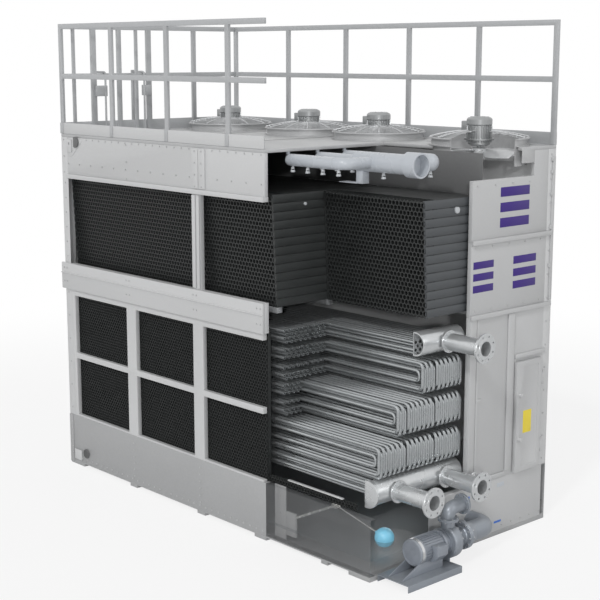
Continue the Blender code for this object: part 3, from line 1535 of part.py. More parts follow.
def build_float(materials, parts):
    """Make-up water valve and its float arm."""
    px, py, pz = FLOAT_PIVOT
    far, half = VALVE_BODY
    body = slab((px - far, px - half), (py - half, py + half), (pz - half, pz + half))
    reach = FLOAT_EYE + 2 * GAP
    cheeks = [
        slab(
            (px - 1.5 * half, px + reach),
            (py + side - FLOAT_CHEEK, py + side + FLOAT_CHEEK),
            (pz - reach, pz + reach),
        )
        for side in (-FLOAT_FORK, FLOAT_FORK)
    ]
    middle = px - (far + half) / 2
    pipe = rod(
        (middle, py, pz), (middle, -HALF_WIDTH + WINDOW_THICKNESS + GAP, pz), VALVE_PIPE, 10
    )
    finish(union(body, together(cheeks), pipe), "float_valve", materials["brass"], parts)
    arm = tube(((px, py, pz), FLOAT_CENTRE), FLOAT_ROD, 1)
    sphere = ball(FLOAT_CENTRE, FLOAT_RADIUS)
    width = FLOAT_FORK - FLOAT_CHEEK - 2 * GAP
    eye = rod((px, py - width, pz), (px, py + width, pz), FLOAT_EYE, 10)
    finish(
        union(sphere, arm, eye), "float_arm", materials["float"], parts, smooth=True, pivot=FLOAT_PIVOT
    )


def main():
    """Build the whole tower."""
    clear_scene()
    parts = make_collections()
    materials = {
        "panel": make_material("panel", (0.56, 0.57, 0.58), 0.45, 0.3),
        "steel": make_material("steel", (0.42, 0.43, 0.44), 0.45, 0.6),
        "rail": make_material("rail", (0.60, 0.61, 0.62), 0.4, 0.5),
        "screen": make_material("screen", (0.02, 0.022, 0.022), 0.7, 0.0),
        "fill": make_material("fill", (0.028, 0.032, 0.032), 0.6, 0.0),
        "tube": make_material("tube", (0.45, 0.47, 0.48), 0.3, 0.8),
        "plastic": make_material("plastic", (0.56, 0.6, 0.65), 0.35, 0.0),
        "pump": make_material("pump", (0.22, 0.24, 0.26), 0.4, 0.2),
        "float": make_material("float", (0.2, 0.6, 0.85), 0.35, 0.0),
        "brass": make_material("brass", (0.6, 0.45, 0.18), 0.3, 0.9),
        "clear": make_material("clear", (0.5, 0.52, 0.52), 0.1, 0.0, 0.35),
    }
    build_basin(materials, parts)
    build_posts(materials, parts)
    build_front(materials, parts)
    build_back_and_left(materials, parts)
    build_pump_end(materials, parts)
    build_deck(materials, parts)
    build_fans(materials, parts)
    build_railings(materials, parts)
    build_fill(materials, parts)
    build_coil(materials, parts)
    build_headers(materials, parts)
    build_spray(materials, parts)
    build_pump(materials, parts)
    build_float(materials, parts)


main()
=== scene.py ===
"""Looks of the cutaway closed-circuit cooling tower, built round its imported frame.

Units are metres, +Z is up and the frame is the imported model's own: +X runs along
the tower to the pump end, -Y is the air inlet side and +Y is the fan side. Every
size below is a real size, or is worked out from the frame's own pieces.
"""

import json
import logging
import math
from dataclasses import dataclass, field
from enum import Enum
from typing import Callable, Dict, Iterable, List, Optional, Sequence, Tuple, Union

import bpy
from mathutils import Matrix, Vector

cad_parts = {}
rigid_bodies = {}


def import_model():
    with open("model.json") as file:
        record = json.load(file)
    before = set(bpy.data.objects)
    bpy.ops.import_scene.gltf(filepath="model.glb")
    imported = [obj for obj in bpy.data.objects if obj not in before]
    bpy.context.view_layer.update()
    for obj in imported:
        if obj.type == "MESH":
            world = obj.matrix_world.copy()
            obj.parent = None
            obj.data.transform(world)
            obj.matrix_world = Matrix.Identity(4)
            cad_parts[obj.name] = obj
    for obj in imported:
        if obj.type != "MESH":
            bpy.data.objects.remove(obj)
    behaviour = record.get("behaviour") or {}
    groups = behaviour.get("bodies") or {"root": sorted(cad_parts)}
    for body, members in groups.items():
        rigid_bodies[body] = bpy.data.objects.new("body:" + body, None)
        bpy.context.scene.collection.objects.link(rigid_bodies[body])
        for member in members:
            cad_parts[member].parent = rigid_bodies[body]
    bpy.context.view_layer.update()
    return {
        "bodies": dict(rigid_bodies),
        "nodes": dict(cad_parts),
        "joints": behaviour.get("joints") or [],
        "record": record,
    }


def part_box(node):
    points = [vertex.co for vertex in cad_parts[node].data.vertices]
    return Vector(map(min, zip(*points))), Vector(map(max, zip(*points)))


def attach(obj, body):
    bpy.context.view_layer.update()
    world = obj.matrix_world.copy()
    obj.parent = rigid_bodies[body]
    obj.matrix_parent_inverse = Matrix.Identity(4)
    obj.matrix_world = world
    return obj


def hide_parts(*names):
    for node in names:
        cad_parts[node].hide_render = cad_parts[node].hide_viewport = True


LOG = logging.getLogger("cooling_tower")

Span = Tuple[float, float]
Point = Tuple[float, float, float]
Area = Tuple[float, float, float, float]
Profile = Sequence[Span]
Thing = bpy.types.Object

FIXED = "tower"
GAP = 0.0003
MERGE = 0.00002
SMOOTH_ANGLE = math.radians(32)
TUBE_SMOOTH = math.radians(40)
BOLT_SMOOTH = math.radians(20)
ALONG = (1, 0, 0)
ACROSS = (0, 1, 0)
UPWARD = (0, 0, 1)


class Bench:
    """Modelling steps, done with Blender's own operators."""

    @staticmethod
    def deselect() -> None:
        """Leave object mode with nothing selected."""
        if bpy.context.object is not None and bpy.context.object.mode != "OBJECT":
            bpy.ops.object.mode_set(mode="OBJECT")
        bpy.ops.object.select_all(action="DESELECT")

    @staticmethod
    def activate(piece: Thing) -> Thing:
        """Select one piece alone and make it the active one."""
        Bench.deselect()
        piece.select_set(True)
        bpy.context.view_layer.objects.active = piece
        return piece

    @staticmethod
    def place(name: str, data: bpy.types.ID) -> Thing:
        """A new object in the scene that shows the given data."""
        piece = bpy.data.objects.new(name, data)
        bpy.context.scene.collection.objects.link(piece)
        return piece

    @staticmethod
    def settle() -> Thing:
        """Move the new piece's place, turn and size into its mesh."""
        piece = Bench.activate(bpy.context.object)
        bpy.ops.object.transform_apply(location=True, rotation=True, scale=True)
        return piece

    @staticmethod
    def edit(piece: Thing, *steps: Callable[[], object]) -> Thing:
        """Run edit-mode steps on a whole piece.

        Args:
            piece: The mesh to work on.
            steps: Calls made one after the other with all of it selected.

        Returns:
            The same piece, in object mode.
        """
        Bench.activate(piece)
        bpy.ops.object.mode_set(mode="EDIT")
        for step in steps:
            bpy.ops.mesh.select_all(action="SELECT")
            step()
        bpy.ops.object.mode_set(mode="OBJECT")
        return piece

    @staticmethod
    def edit_faces(piece: Thing, test: Callable[[Vector, Vector], bool], step: Callable[[], object]) -> Thing:
        """Run one edit-mode step on chosen faces.

        Args:
            piece: The mesh to work on.
            test: Says of a face's centre and normal whether it is chosen.
            step: The call made with those faces selected.

        Returns:
            The same piece, in object mode.
        """
        Bench.activate(piece)
        bpy.ops.object.mode_set(mode="EDIT")
        bpy.ops.mesh.select_mode(type="FACE")
        bpy.ops.mesh.select_all(action="DESELECT")
        bpy.ops.object.mode_set(mode="OBJECT")
        for face in piece.data.polygons:
            face.select = test(face.center, face.normal)
        bpy.ops.object.mode_set(mode="EDIT")
        step()
        bpy.ops.object.mode_set(mode="OBJECT")
        return piece

    @staticmethod
    def apply(piece: Thing, kind: str, **settings: object) -> Thing:
        """Add a modifier of one kind to a piece, set it and apply it."""
        Bench.activate(piece)
        modifier = piece.modifiers.new("step", kind)
        for name, value in settings.items():
            setattr(modifier, name, value)
        bpy.ops.object.modifier_apply(modifier=modifier.name)
        return piece

    @staticmethod
    def round_edges(piece: Thing, width: float, segments: int = 2) -> Thing:
        """Round a piece's sharp edges with a bevel, unless the width is nought."""
        if not width:
            return piece
        return Bench.apply(
            piece, "BEVEL", width=width, segments=segments, limit_method="ANGLE",
            angle_limit=math.radians(40), use_clamp_overlap=True,
        )

    @staticmethod
    def block(low: Sequence[float], high: Sequence[float], edge: float = 0.002) -> Thing:
        """A block between two corners with rounded edges."""
        Bench.deselect()
        bpy.ops.mesh.primitive_cube_add(size=1.0, location=(Vector(low) + Vector(high)) / 2)
        bpy.context.object.scale = Vector(high) - Vector(low)
        return Bench.round_edges(Bench.settle(), edge)

    @staticmethod
    def bar(
        start: Sequence[float], end: Sequence[float], radius: float, sides: int = 16, edge: float = 0.0
    ) -> Thing:
        """A round bar between two points, its rims rounded if edge is given."""
        Bench.deselect()
        run = Vector(end) - Vector(start)
        bpy.ops.mesh.primitive_cylinder_add(
            vertices=sides, radius=radius, depth=run.length, location=(Vector(start) + Vector(end)) / 2,
            rotation=run.to_track_quat("Z", "Y").to_euler(),
        )
        return Bench.round_edges(Bench.settle(), edge)

    @staticmethod
    def outline(points: Sequence[Point]) -> Thing:
        """A closed chain of edges through points, for spin and extrude to work on."""
        mesh = bpy.data.meshes.new("outline")
        edges = [(index, index + 1) for index in range(len(points) - 1)]
        mesh.from_pydata(list(points), [*edges, (len(points) - 1, 0)], [])
        return Bench.place("outline", mesh)

    @staticmethod
    def tidy(piece: Thing) -> Thing:
        """Merge doubled points and point all faces outwards."""
        return Bench.edit(
            piece,
            lambda: bpy.ops.mesh.remove_doubles(threshold=MERGE),
            lambda: bpy.ops.mesh.normals_make_consistent(inside=False),
        )

    @staticmethod
    def turned(profile: Profile, centre: Sequence[float], axis: Sequence[float], steps: int = 32) -> Thing:
        """A turned piece.

        Args:
            profile: Closed chain of (radius, place along the axis) points.
            centre: The point on the axis that the places count from.
            axis: The axis' direction.
            steps: Facets round the axis.

        Returns:
            The turned piece with its faces pointing out.
        """
        piece = Bench.outline([(radius, 0.0, along) for radius, along in profile])
        origin = (0.0, 0.0, 0.0)
        Bench.edit(piece, lambda: bpy.ops.mesh.spin(steps=steps, angle=math.tau, center=origin, axis=UPWARD))
        turn = Vector(axis).to_track_quat("Z", "Y").to_matrix().to_4x4()
        piece.data.transform(Matrix.Translation(centre) @ turn)
        return Bench.tidy(piece)

    @staticmethod
    def pipe(points: Sequence[Point], radius: float, sides: int = 12, bend: float = 0.0) -> Thing:
        """A round pipe along a path.

        Args:
            points: The path's corners.
            radius: The pipe's outer radius.
            sides: Facets round it.
            bend: How far before a corner its round bend starts.

        Returns:
            The pipe as a closed mesh.
        """
        Bench.deselect()
        curve = bpy.data.curves.new("pipe", "CURVE")
        curve.dimensions = "3D"
        curve.bevel_depth = radius
        curve.bevel_resolution = max(0, sides // 4 - 1)
        curve.use_fill_caps = True
        path = Bench.rounded_path([Vector(point) for point in points], bend)
        spline = curve.splines.new("POLY")
        spline.points.add(len(path) - 1)
        for point, spot in zip(spline.points, path):
            point.co = (*spot, 1.0)
        Bench.activate(Bench.place("pipe", curve))
        bpy.ops.object.convert(target="MESH")
        return Bench.tidy(bpy.context.object)

    @staticmethod
    def rounded_path(corners: Sequence[Vector], bend: float, steps: int = 6) -> Sequence[Vector]:
        """A path whose inner corners are replaced by smooth bends."""
        if not bend:
            return corners
        path = [corners[0]]
        for before, corner, after in zip(corners, corners[1:], corners[2:]):
            start = corner + (before - corner).normalized() * bend
            end = corner + (after - corner).normalized() * bend
            for step in range(steps + 1):
                share = step / steps
                path.append(start.lerp(corner, share).lerp(corner.lerp(end, share), share))
        return [*path, corners[-1]]

    @staticmethod
    def sheet(outline: Sequence[Point], thickness: Sequence[float], edge: float = 0.0) -> Thing:
        """A flat sheet.

        Args:
            outline: Its corners, in order, in one plane.
            thickness: The move that gives the sheet its thickness.
            edge: Width of the rounding of its edges.

        Returns:
            The sheet as a closed mesh.
        """
        piece = Bench.edit(
            Bench.outline(outline),
            lambda: bpy.ops.mesh.edge_face_add(),
            lambda: bpy.ops.mesh.extrude_region_move(TRANSFORM_OT_translate={"value": tuple(thickness)}),
            lambda: bpy.ops.mesh.normals_make_consistent(inside=False),
        )
        return Bench.round_edges(piece, edge)

    @staticmethod
    def join(pieces: Iterable[Thing], name: str = "joined") -> Thing:
        """Join pieces into one object."""
        pieces = list(pieces)
        joined = Bench.activate(pieces[0])
        for piece in pieces:
            piece.select_set(True)
        if len(pieces) > 1:
            bpy.ops.object.join()
        joined.name = name
        joined.data.name = name
        return joined

    @staticmethod
    def copies(model: Thing, places: Iterable[Matrix]) -> Thing:
        """Copy a piece that was modelled about the origin to many places, and join the copies."""
        made = []
        for place in places:
            twin = Bench.place("copy", model.data.copy())
            twin.data.transform(place)
            made.append(twin)
        bpy.data.objects.remove(model, do_unlink=True)
        return Bench.join(made)

    @staticmethod
    def around(
        model: Thing, count: int, centre: Sequence[float], axis: str = "Z", first: float = 0.0
    ) -> Thing:
        """Copy a piece to places on a circle.

        Args:
            model: The piece, modelled in its place round the origin.
            count: How many copies there are.
            centre: The middle of the circle.
            axis: The axis that they stand round.
            first: How far round the first one stands, as a share of the pitch.

        Returns:
            The joined copies.
        """
        middle = Matrix.Translation(centre)
        turns = [Matrix.Rotation((index + first) * math.tau / count, 4, axis) for index in range(count)]
        return Bench.copies(model, [middle @ turn for turn in turns])

    @staticmethod
    def cut(piece: Thing, cutter: Thing) -> Thing:
        """Cut one closed piece with another, which is used up."""
        Bench.apply(piece, "BOOLEAN", operation="DIFFERENCE", solver="EXACT", object=cutter)
        bpy.data.objects.remove(cutter, do_unlink=True)
        return piece

    @staticmethod
    def trim(piece: Thing, point: Point, normal: Point, fill: bool = False) -> Thing:
        """Take away what lies on the normal's side of a plane."""
        return Bench.edit(
            piece,
            lambda: bpy.ops.mesh.bisect(plane_co=point, plane_no=normal, use_fill=fill, clear_outer=True),
        )


class Wiring:
    """Adds the nodes of one node tree, each fed as it is made."""

    def __init__(self, tree: bpy.types.NodeTree) -> None:
        """Start on a tree."""
        self.tree = tree

    def feed(self, node: bpy.types.Node, feeds: Dict[Union[str, int], object]) -> bpy.types.Node:
        """Give input sockets their own values, or link them to the outputs that feed them."""
        for name, source in feeds.items():
            if isinstance(source, bpy.types.NodeSocket):
                self.tree.links.new(source, node.inputs[name])
            else:
                node.inputs[name].default_value = source
        return node

    def add(
        self, kind: str, feeds: Optional[Dict[Union[str, int], object]] = None, **settings: object
    ) -> bpy.types.bpy_prop_collection:
        """Add a node.

        Args:
            kind: The node's type.
            feeds: Input sockets by name or number, with the value or the output that feeds each.
            settings: The node's other properties.

        Returns:
            The new node's outputs.
        """
        made = self.tree.nodes.new(kind)
        for name, value in settings.items():
            setattr(made, name, value)
        return self.feed(made, feeds or {}).outputs

    def sum(self, operation: str, first: object, second: object) -> bpy.types.NodeSocket:
        """The result of a sum on two values."""
        return self.add("ShaderNodeMath", {0: first, 1: second}, operation=operation)[0]

    def ramp(self, value: object, source: Span, target: Span, **settings: object) -> bpy.types.NodeSocket:
        """A value moved from one range to another."""
        low, high = source
        start, end = target
        feeds = {"Value": value, "From Min": low, "From Max": high, "To Min": start, "To Max": end}
        return self.add("ShaderNodeMapRange", feeds, **settings)["Result"]


class Effects:
    """Shader node groups that several finishes share."""

    KINDS = {"Vector": "NodeSocketVector", "Colour": "NodeSocketColor", "Dust": "NodeSocketColor"}
    SOCKETS = {
        "zinc_spangle": (("Vector", "Colour", "Scale", "Depth"), ("Colour",)),
        "weather_cloud": (("Vector", "Colour", "Scale", "Depth"), ("Colour", "Mask")),
        "settled_dust": (("Vector", "Colour", "Dust", "Upward", "Amount"), ("Colour",)),
        "fine_grain": (("Vector", "Scale"), ("Height",)),
    }

    @classmethod
    def group(cls, name: str) -> bpy.types.NodeTree:
        """The node group of an effect, wired up the first time it is asked for."""
        found = bpy.data.node_groups.get(name)
        if found is not None:
            return found
        tree = bpy.data.node_groups.new(name, "ShaderNodeTree")
        for labels, direction in zip(cls.SOCKETS[name], ("INPUT", "OUTPUT")):
            for label in labels:
                kind = cls.KINDS.get(label, "NodeSocketFloat")
                tree.interface.new_socket(name=label, in_out=direction, socket_type=kind)
        wiring = Wiring(tree)
        given = wiring.add("NodeGroupInput")
        wiring.add("NodeGroupOutput", getattr(cls, name)(wiring, given))
        return tree

    @staticmethod
    def tinted(wiring: Wiring, given: Dict[str, object], value: object) -> bpy.types.NodeSocket:
        """The given colour made lighter or darker by a value about one half, as far as the depth says."""
        spread = wiring.sum("MULTIPLY", wiring.sum("SUBTRACT", value, 0.5), given["Depth"])
        lift = wiring.sum("ADD", spread, 1.0)
        feeds = {0: given["Colour"], "Scale": lift}
        return wiring.add("ShaderNodeVectorMath", feeds, operation="SCALE")["Vector"]

    @classmethod
    def zinc_spangle(cls, wiring: Wiring, given: Dict[str, object]) -> Dict[str, object]:
        """Crystal patches of a zinc coat."""
        bend = wiring.add("ShaderNodeTexNoise", {"Vector": given["Vector"], "Scale": 9.0, "Detail": 2.0})
        feeds = {0: bend["Color"], 1: (0.012, 0.012, 0.012), 2: given["Vector"]}
        warp = wiring.add("ShaderNodeVectorMath", feeds, operation="MULTIPLY_ADD")
        feeds = {"Vector": warp["Vector"], "Scale": given["Scale"], "Randomness": 1.0}
        cells = wiring.add("ShaderNodeTexVoronoi", feeds, feature="F1")
        tone = wiring.add("ShaderNodeSeparateColor", {"Color": cells["Color"]})
        return {"Colour": cls.tinted(wiring, given, tone["Red"])}

    @classmethod
    def weather_cloud(cls, wiring: Wiring, given: Dict[str, object]) -> Dict[str, object]:
        """Soft large patches of weather and handling."""
        feeds = {"Vector": given["Vector"], "Scale": given["Scale"], "Detail": 5.0, "Roughness": 0.55}
        cloud = wiring.add("ShaderNodeTexNoise", feeds)
        return {"Colour": cls.tinted(wiring, given, cloud["Fac"]), "Mask": cloud["Fac"]}

    @staticmethod
    def settled_dust(wiring: Wiring, given: Dict[str, object]) -> Dict[str, object]:
        """Pale dust on upward faces."""
        feeds = {"Vector": given["Vector"], "Scale": 14.0, "Detail": 6.0, "Roughness": 0.7}
        speck = wiring.add("ShaderNodeTexNoise", feeds)
        edge = wiring.ramp(speck["Fac"], (0.38, 0.68), (0.0, 1.0))
        flat = wiring.ramp(given["Upward"], (0.4, 1.0), (0.0, 1.0))
        share = wiring.sum("MULTIPLY", wiring.sum("MULTIPLY", edge, flat), given["Amount"])
        feeds = {0: share, 6: given["Colour"], 7: given["Dust"]}
        return {"Colour": wiring.add("ShaderNodeMix", feeds, data_type="RGBA")[2]}

    @staticmethod
    def fine_grain(wiring: Wiring, given: Dict[str, object]) -> Dict[str, object]:
        """Small unevenness of a surface."""
        feeds = {"Vector": given["Vector"], "Scale": given["Scale"], "Detail": 4.0, "Roughness": 0.6}
        return {"Height": wiring.add("ShaderNodeTexNoise", feeds)["Fac"]}


@dataclass(frozen=True)
class Finish:
    """How one kind of surface looks, as a procedural material.

    A scale counts patches to the metre, and a depth is the share by which they differ.
    """

    name: str
    slot: str
    colour: Point
    roughness: float
    metallic: float = 0.0
    spangle: float = 90.0
    spangle_depth: float = 0.0
    cloud: float = 3.0
    cloud_depth: float = 0.06
    dust: Point = (0.55, 0.55, 0.53)
    dust_amount: float = 0.15
    grain: float = 300.0
    grain_height: float = 0.0002
    roughness_spread: float = 0.08
    stretch: Point = (1.0, 1.0, 1.0)
    coat: float = 0.0
    alpha: float = 1.0
    ior: float = 1.5
    # painted_glow: emission strength that paints light onto a part that is no lamp
    painted_glow: float = 0.0

    def material(self) -> bpy.types.Material:
        """The finish as a Blender material, made the first time it is asked for."""
        found = bpy.data.materials.get(self.name)
        if found is not None:
            return found
        made = bpy.data.materials.new(self.name)
        made.use_nodes = True
        wiring = Wiring(made.node_tree)
        place = wiring.add("ShaderNodeTexCoord")["Object"]
        vector = wiring.add("ShaderNodeMapping", {"Vector": place, "Scale": self.stretch})["Vector"]
        normal = wiring.add("ShaderNodeNewGeometry")["Normal"]
        upward = wiring.add("ShaderNodeSeparateXYZ", {"Vector": normal})["Z"]

        def effect(name: str, **feeds: object) -> bpy.types.bpy_prop_collection:
            """The outputs of one effect on this surface."""
            return wiring.add("ShaderNodeGroup", {"Vector": vector, **feeds}, node_tree=Effects.group(name))

        colour = (*self.colour, 1.0)
        zinc = effect("zinc_spangle", Colour=colour, Scale=self.spangle, Depth=self.spangle_depth)
        cloud = effect("weather_cloud", Colour=zinc["Colour"], Scale=self.cloud, Depth=self.cloud_depth)
        dusty = effect(
            "settled_dust", Colour=cloud["Colour"], Dust=(*self.dust, 1.0), Upward=upward,
            Amount=self.dust_amount,
        )
        grain = effect("fine_grain", Scale=self.grain)
        spread = self.roughness_spread
        rough = (max(0.02, self.roughness - spread), min(1.0, self.roughness + spread))
        feeds = {"Strength": 0.6, "Distance": self.grain_height, "Height": grain["Height"]}
        wiring.feed(made.node_tree.nodes["Principled BSDF"], {
            "Base Color": dusty["Colour"],
            "Roughness": wiring.ramp(cloud["Mask"], (0.25, 0.75), rough),
            "Normal": wiring.add("ShaderNodeBump", feeds)["Normal"],
            "Metallic": self.metallic,
            "Coat Weight": self.coat,
            "Alpha": self.alpha,
            "IOR": self.ior,
            # Emission is painted light: parts with a painted_glow glow though they are no lamps
            "Emission Color": colour,
            "Emission Strength": self.painted_glow,
        })
        return made


COATED = {"spangle": 140.0, "spangle_depth": 0.03, "cloud": 1.4, "cloud_depth": 0.07, "dust_amount": 0.12}
SHEET = {"spangle": 70.0, "spangle_depth": 0.05, "cloud": 1.2, "cloud_depth": 0.10, "dust_amount": 0.1}
FILM = {"cloud": 5.0, "dust_amount": 0.1}
GLAZED = {"cloud": 2.0, "dust_amount": 0.0}
PAINTED = {"cloud": 4.0, "dust_amount": 0.05}


class Finishes(Enum):
    """The tower's finishes."""

    PANEL = Finish("coated_panel", "panel", (0.58, 0.585, 0.59), 0.45, 0.08, **COATED)
    # Painted shade: a darker copy of the panel coat for the faces at the +X end, so that they read as less
    # lit
    END_PANEL = Finish("coated_panel_painted_shade", "panel", (0.51, 0.515, 0.52), 0.45, 0.08, **COATED)
    BASIN = Finish("basin_sheet", "steel", (0.41, 0.415, 0.42), 0.42, 0.25, **SHEET)
    DECK = Finish("deck_sheet", "steel", (0.48, 0.485, 0.49), 0.42, 0.22, **SHEET)
    GALVANISED = Finish(
        "galvanised_steel", "steel", (0.36, 0.37, 0.38), 0.36, 0.6, 80.0, 0.10, cloud=2.5, cloud_depth=0.12
    )
    # Painted shade: a near-black sheet that stands for the shade inside the tower
    INNER_SHEET = Finish(
        "dark_sheet_painted_shade", "steel", (0.15, 0.152, 0.154), 0.55, 0.1, 60.0, 0.05, cloud=2.0, cloud_depth=0.15
    )
    RAIL = Finish(
        "rail_tube", "rail", (0.45, 0.46, 0.47), 0.40, 0.20, 120.0, 0.04, cloud=2.0, cloud_depth=0.10,
        stretch=(1.0, 1.0, 0.35),
    )
    SCREEN = Finish(
        "screen_plastic", "screen", (0.016, 0.018, 0.018), 0.55, cloud=6.0, cloud_depth=0.25,
        dust=(0.12, 0.12, 0.115), dust_amount=0.25,
    )
    FILL = Finish(
        "fill_film", "fill", (0.024, 0.026, 0.026), 0.45, cloud_depth=0.2, dust=(0.10, 0.10, 0.10), coat=0.05,
        **FILM,
    )
    # Painted light: a slightly lighter copy of the fill film for the ends of the left block
    FILL_CUT = Finish(
        "fill_film_lit_cut", "fill", (0.034, 0.037, 0.037), 0.5, cloud_depth=0.25, dust=(0.12, 0.12, 0.12), **FILM
    )
    # Painted light: a lighter copy of the fill film for the near end of the right block, for the light on its
    # end layers
    FILL_EDGE = Finish(
        "fill_film_lit_end", "fill", (0.066, 0.072, 0.078), 0.45, cloud_depth=0.2, dust=(0.16, 0.16, 0.155), **FILM
    )
    TUBE = Finish(
        "coil_tube", "tube", (0.44, 0.46, 0.47), 0.30, 0.70, 60.0, 0.10, cloud=3.0, cloud_depth=0.16,
        stretch=(0.4, 1.0, 1.0),
    )
    HEADER = Finish(
        "header_steel", "tube", (0.60, 0.615, 0.625), 0.27, 0.6, 50.0, 0.05, cloud=3.0, cloud_depth=0.12
    )
    PVC = Finish(
        "pipe_plastic", "plastic", (0.49, 0.52, 0.56), 0.30, cloud=3.0, cloud_depth=0.05, dust_amount=0.08,
        coat=0.25, grain_height=0.0001,
    )
    NOZZLE = Finish(
        "nozzle_plastic", "plastic", (0.50, 0.52, 0.54), 0.35, cloud=20.0, cloud_depth=0.05, dust_amount=0.05
    )
    MOTOR = Finish(
        "motor_enamel", "pump", (0.28, 0.305, 0.345), 0.36, 0.25, cloud=6.0, cloud_depth=0.12, grain=160.0,
        grain_height=0.0004, coat=0.15,
    )
    CASTING = Finish(
        "pump_casting", "pump", (0.28, 0.305, 0.34), 0.38, 0.3, cloud=6.0, cloud_depth=0.14, grain=120.0,
        grain_height=0.0008,
    )
    MACHINED = Finish("machined_steel", "tube", (0.62, 0.63, 0.64), 0.22, 0.85, cloud=8.0, cloud_depth=0.08)
    BOLT = Finish(
        "bolt_zinc", "steel", (0.52, 0.525, 0.53), 0.35, 0.3, cloud=30.0, cloud_depth=0.1, dust_amount=0.05
    )
    FAN_MOTOR = Finish(
        "fan_motor_silver", "steel", (0.36, 0.37, 0.375), 0.34, 0.6, cloud=5.0, cloud_depth=0.10,
        dust_amount=0.05,
    )
    BLADE = Finish("fan_blade", "steel", (0.62, 0.63, 0.64), 0.32, 0.3, cloud=5.0, dust_amount=0.05)
    BRASS = Finish(
        "valve_metal", "brass", (0.60, 0.60, 0.58), 0.25, 0.5, cloud=20.0, cloud_depth=0.10, dust_amount=0.05,
        # Painted light: the valve metal glows faintly so that it looks lit inside the shaded basin
        painted_glow=0.12,
    )
    FLOAT = Finish(
        "float_plastic", "float", (0.24, 0.68, 0.92), 0.35, cloud=20.0, cloud_depth=0.04, dust_amount=0.05,
        # Painted light: the float ball glows so that it looks brightly lit inside the dark basin
        coat=0.3, painted_glow=0.22,
    )
    CLEAR = Finish(
        "clear_sheet", "clear", (0.22, 0.225, 0.23), 0.10, cloud_depth=0.05, alpha=0.26, ior=1.3,
        roughness_spread=0.03, grain_height=0.00005, **GLAZED,
    )
    CLEAR_END = Finish(
        "clear_end_sheet", "clear", (0.30, 0.305, 0.31), 0.08, cloud_depth=0.05, alpha=0.07, ior=1.3,
        roughness_spread=0.03, grain_height=0.00005, **GLAZED,
    )
    WATER = Finish(
        "basin_water", "clear", (0.20, 0.25, 0.27), 0.05, cloud_depth=0.1, alpha=0.16, ior=1.33,
        roughness_spread=0.02, grain=9.0, grain_height=0.004, **GLAZED,
    )
    MARK_DARK = Finish("mark_violet", "panel", (0.036, 0.010, 0.190), 0.45, **PAINTED)
    MARK_BLUE = Finish("mark_blue", "panel", (0.04, 0.16, 0.60), 0.45, **PAINTED)
    MARK_YELLOW = Finish("mark_yellow", "panel", (0.85, 0.68, 0.05), 0.45, **PAINTED)

    def dress(self, piece: Thing) -> Thing:
        """Give a whole piece this finish."""
        piece.data.materials.clear()
        piece.data.materials.append(self.value.material())
        return piece


class Dresser:
    """Dresses pieces, sets them on their bodies and reports them."""

    def __init__(self, frame: dict) -> None:
        """Keep the frame at hand."""
        self.frame = frame
        self.count = 0

    def mount(
        self, name: str, pieces: Union[Thing, Iterable[Thing]], finish: Optional[Finishes], node: str = "",
        body: str = FIXED, smooth: float = SMOOTH_ANGLE,
    ) -> Thing:
        """Join pieces, finish them and set them on their body.

        Args:
            name: The joined piece's name.
            pieces: The pieces, in their places.
            finish: Their finish, or None where their faces are dressed already.
            node: The frame node that they replace, if any.
            body: The body that they ride on.
            smooth: Edges flatter than this angle are shaded smooth.

        Returns:
            The joined piece.
        """
        piece = Bench.join([pieces] if isinstance(pieces, Thing) else pieces, name)
        bpy.ops.object.shade_smooth_by_angle(angle=smooth)
        if finish is not None:
            finish.dress(piece)
        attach(piece, body)
        if node:
            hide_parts(node)
        self.count += 1
        LOG.info("%s: %d faces on %s", piece.name, len(piece.data.polygons), body)
        return piece

    def skin(self, nodes: Sequence[str], finish: Finishes, edge: float, body: str = FIXED) -> None:
        """Replace frame nodes by their own shapes with rounded edges."""
        for node in nodes:
            piece = Bench.place(node, self.frame["nodes"][node].data.copy())
            Bench.edit(
                piece,
                lambda: bpy.ops.mesh.customdata_custom_splitnormals_clear(),
                lambda: bpy.ops.mesh.remove_doubles(threshold=MERGE),
                lambda: bpy.ops.mesh.dissolve_limited(angle_limit=math.radians(0.5)),
            )
            self.mount(f"{node}_skin", Bench.round_edges(piece, edge), finish, node, body)


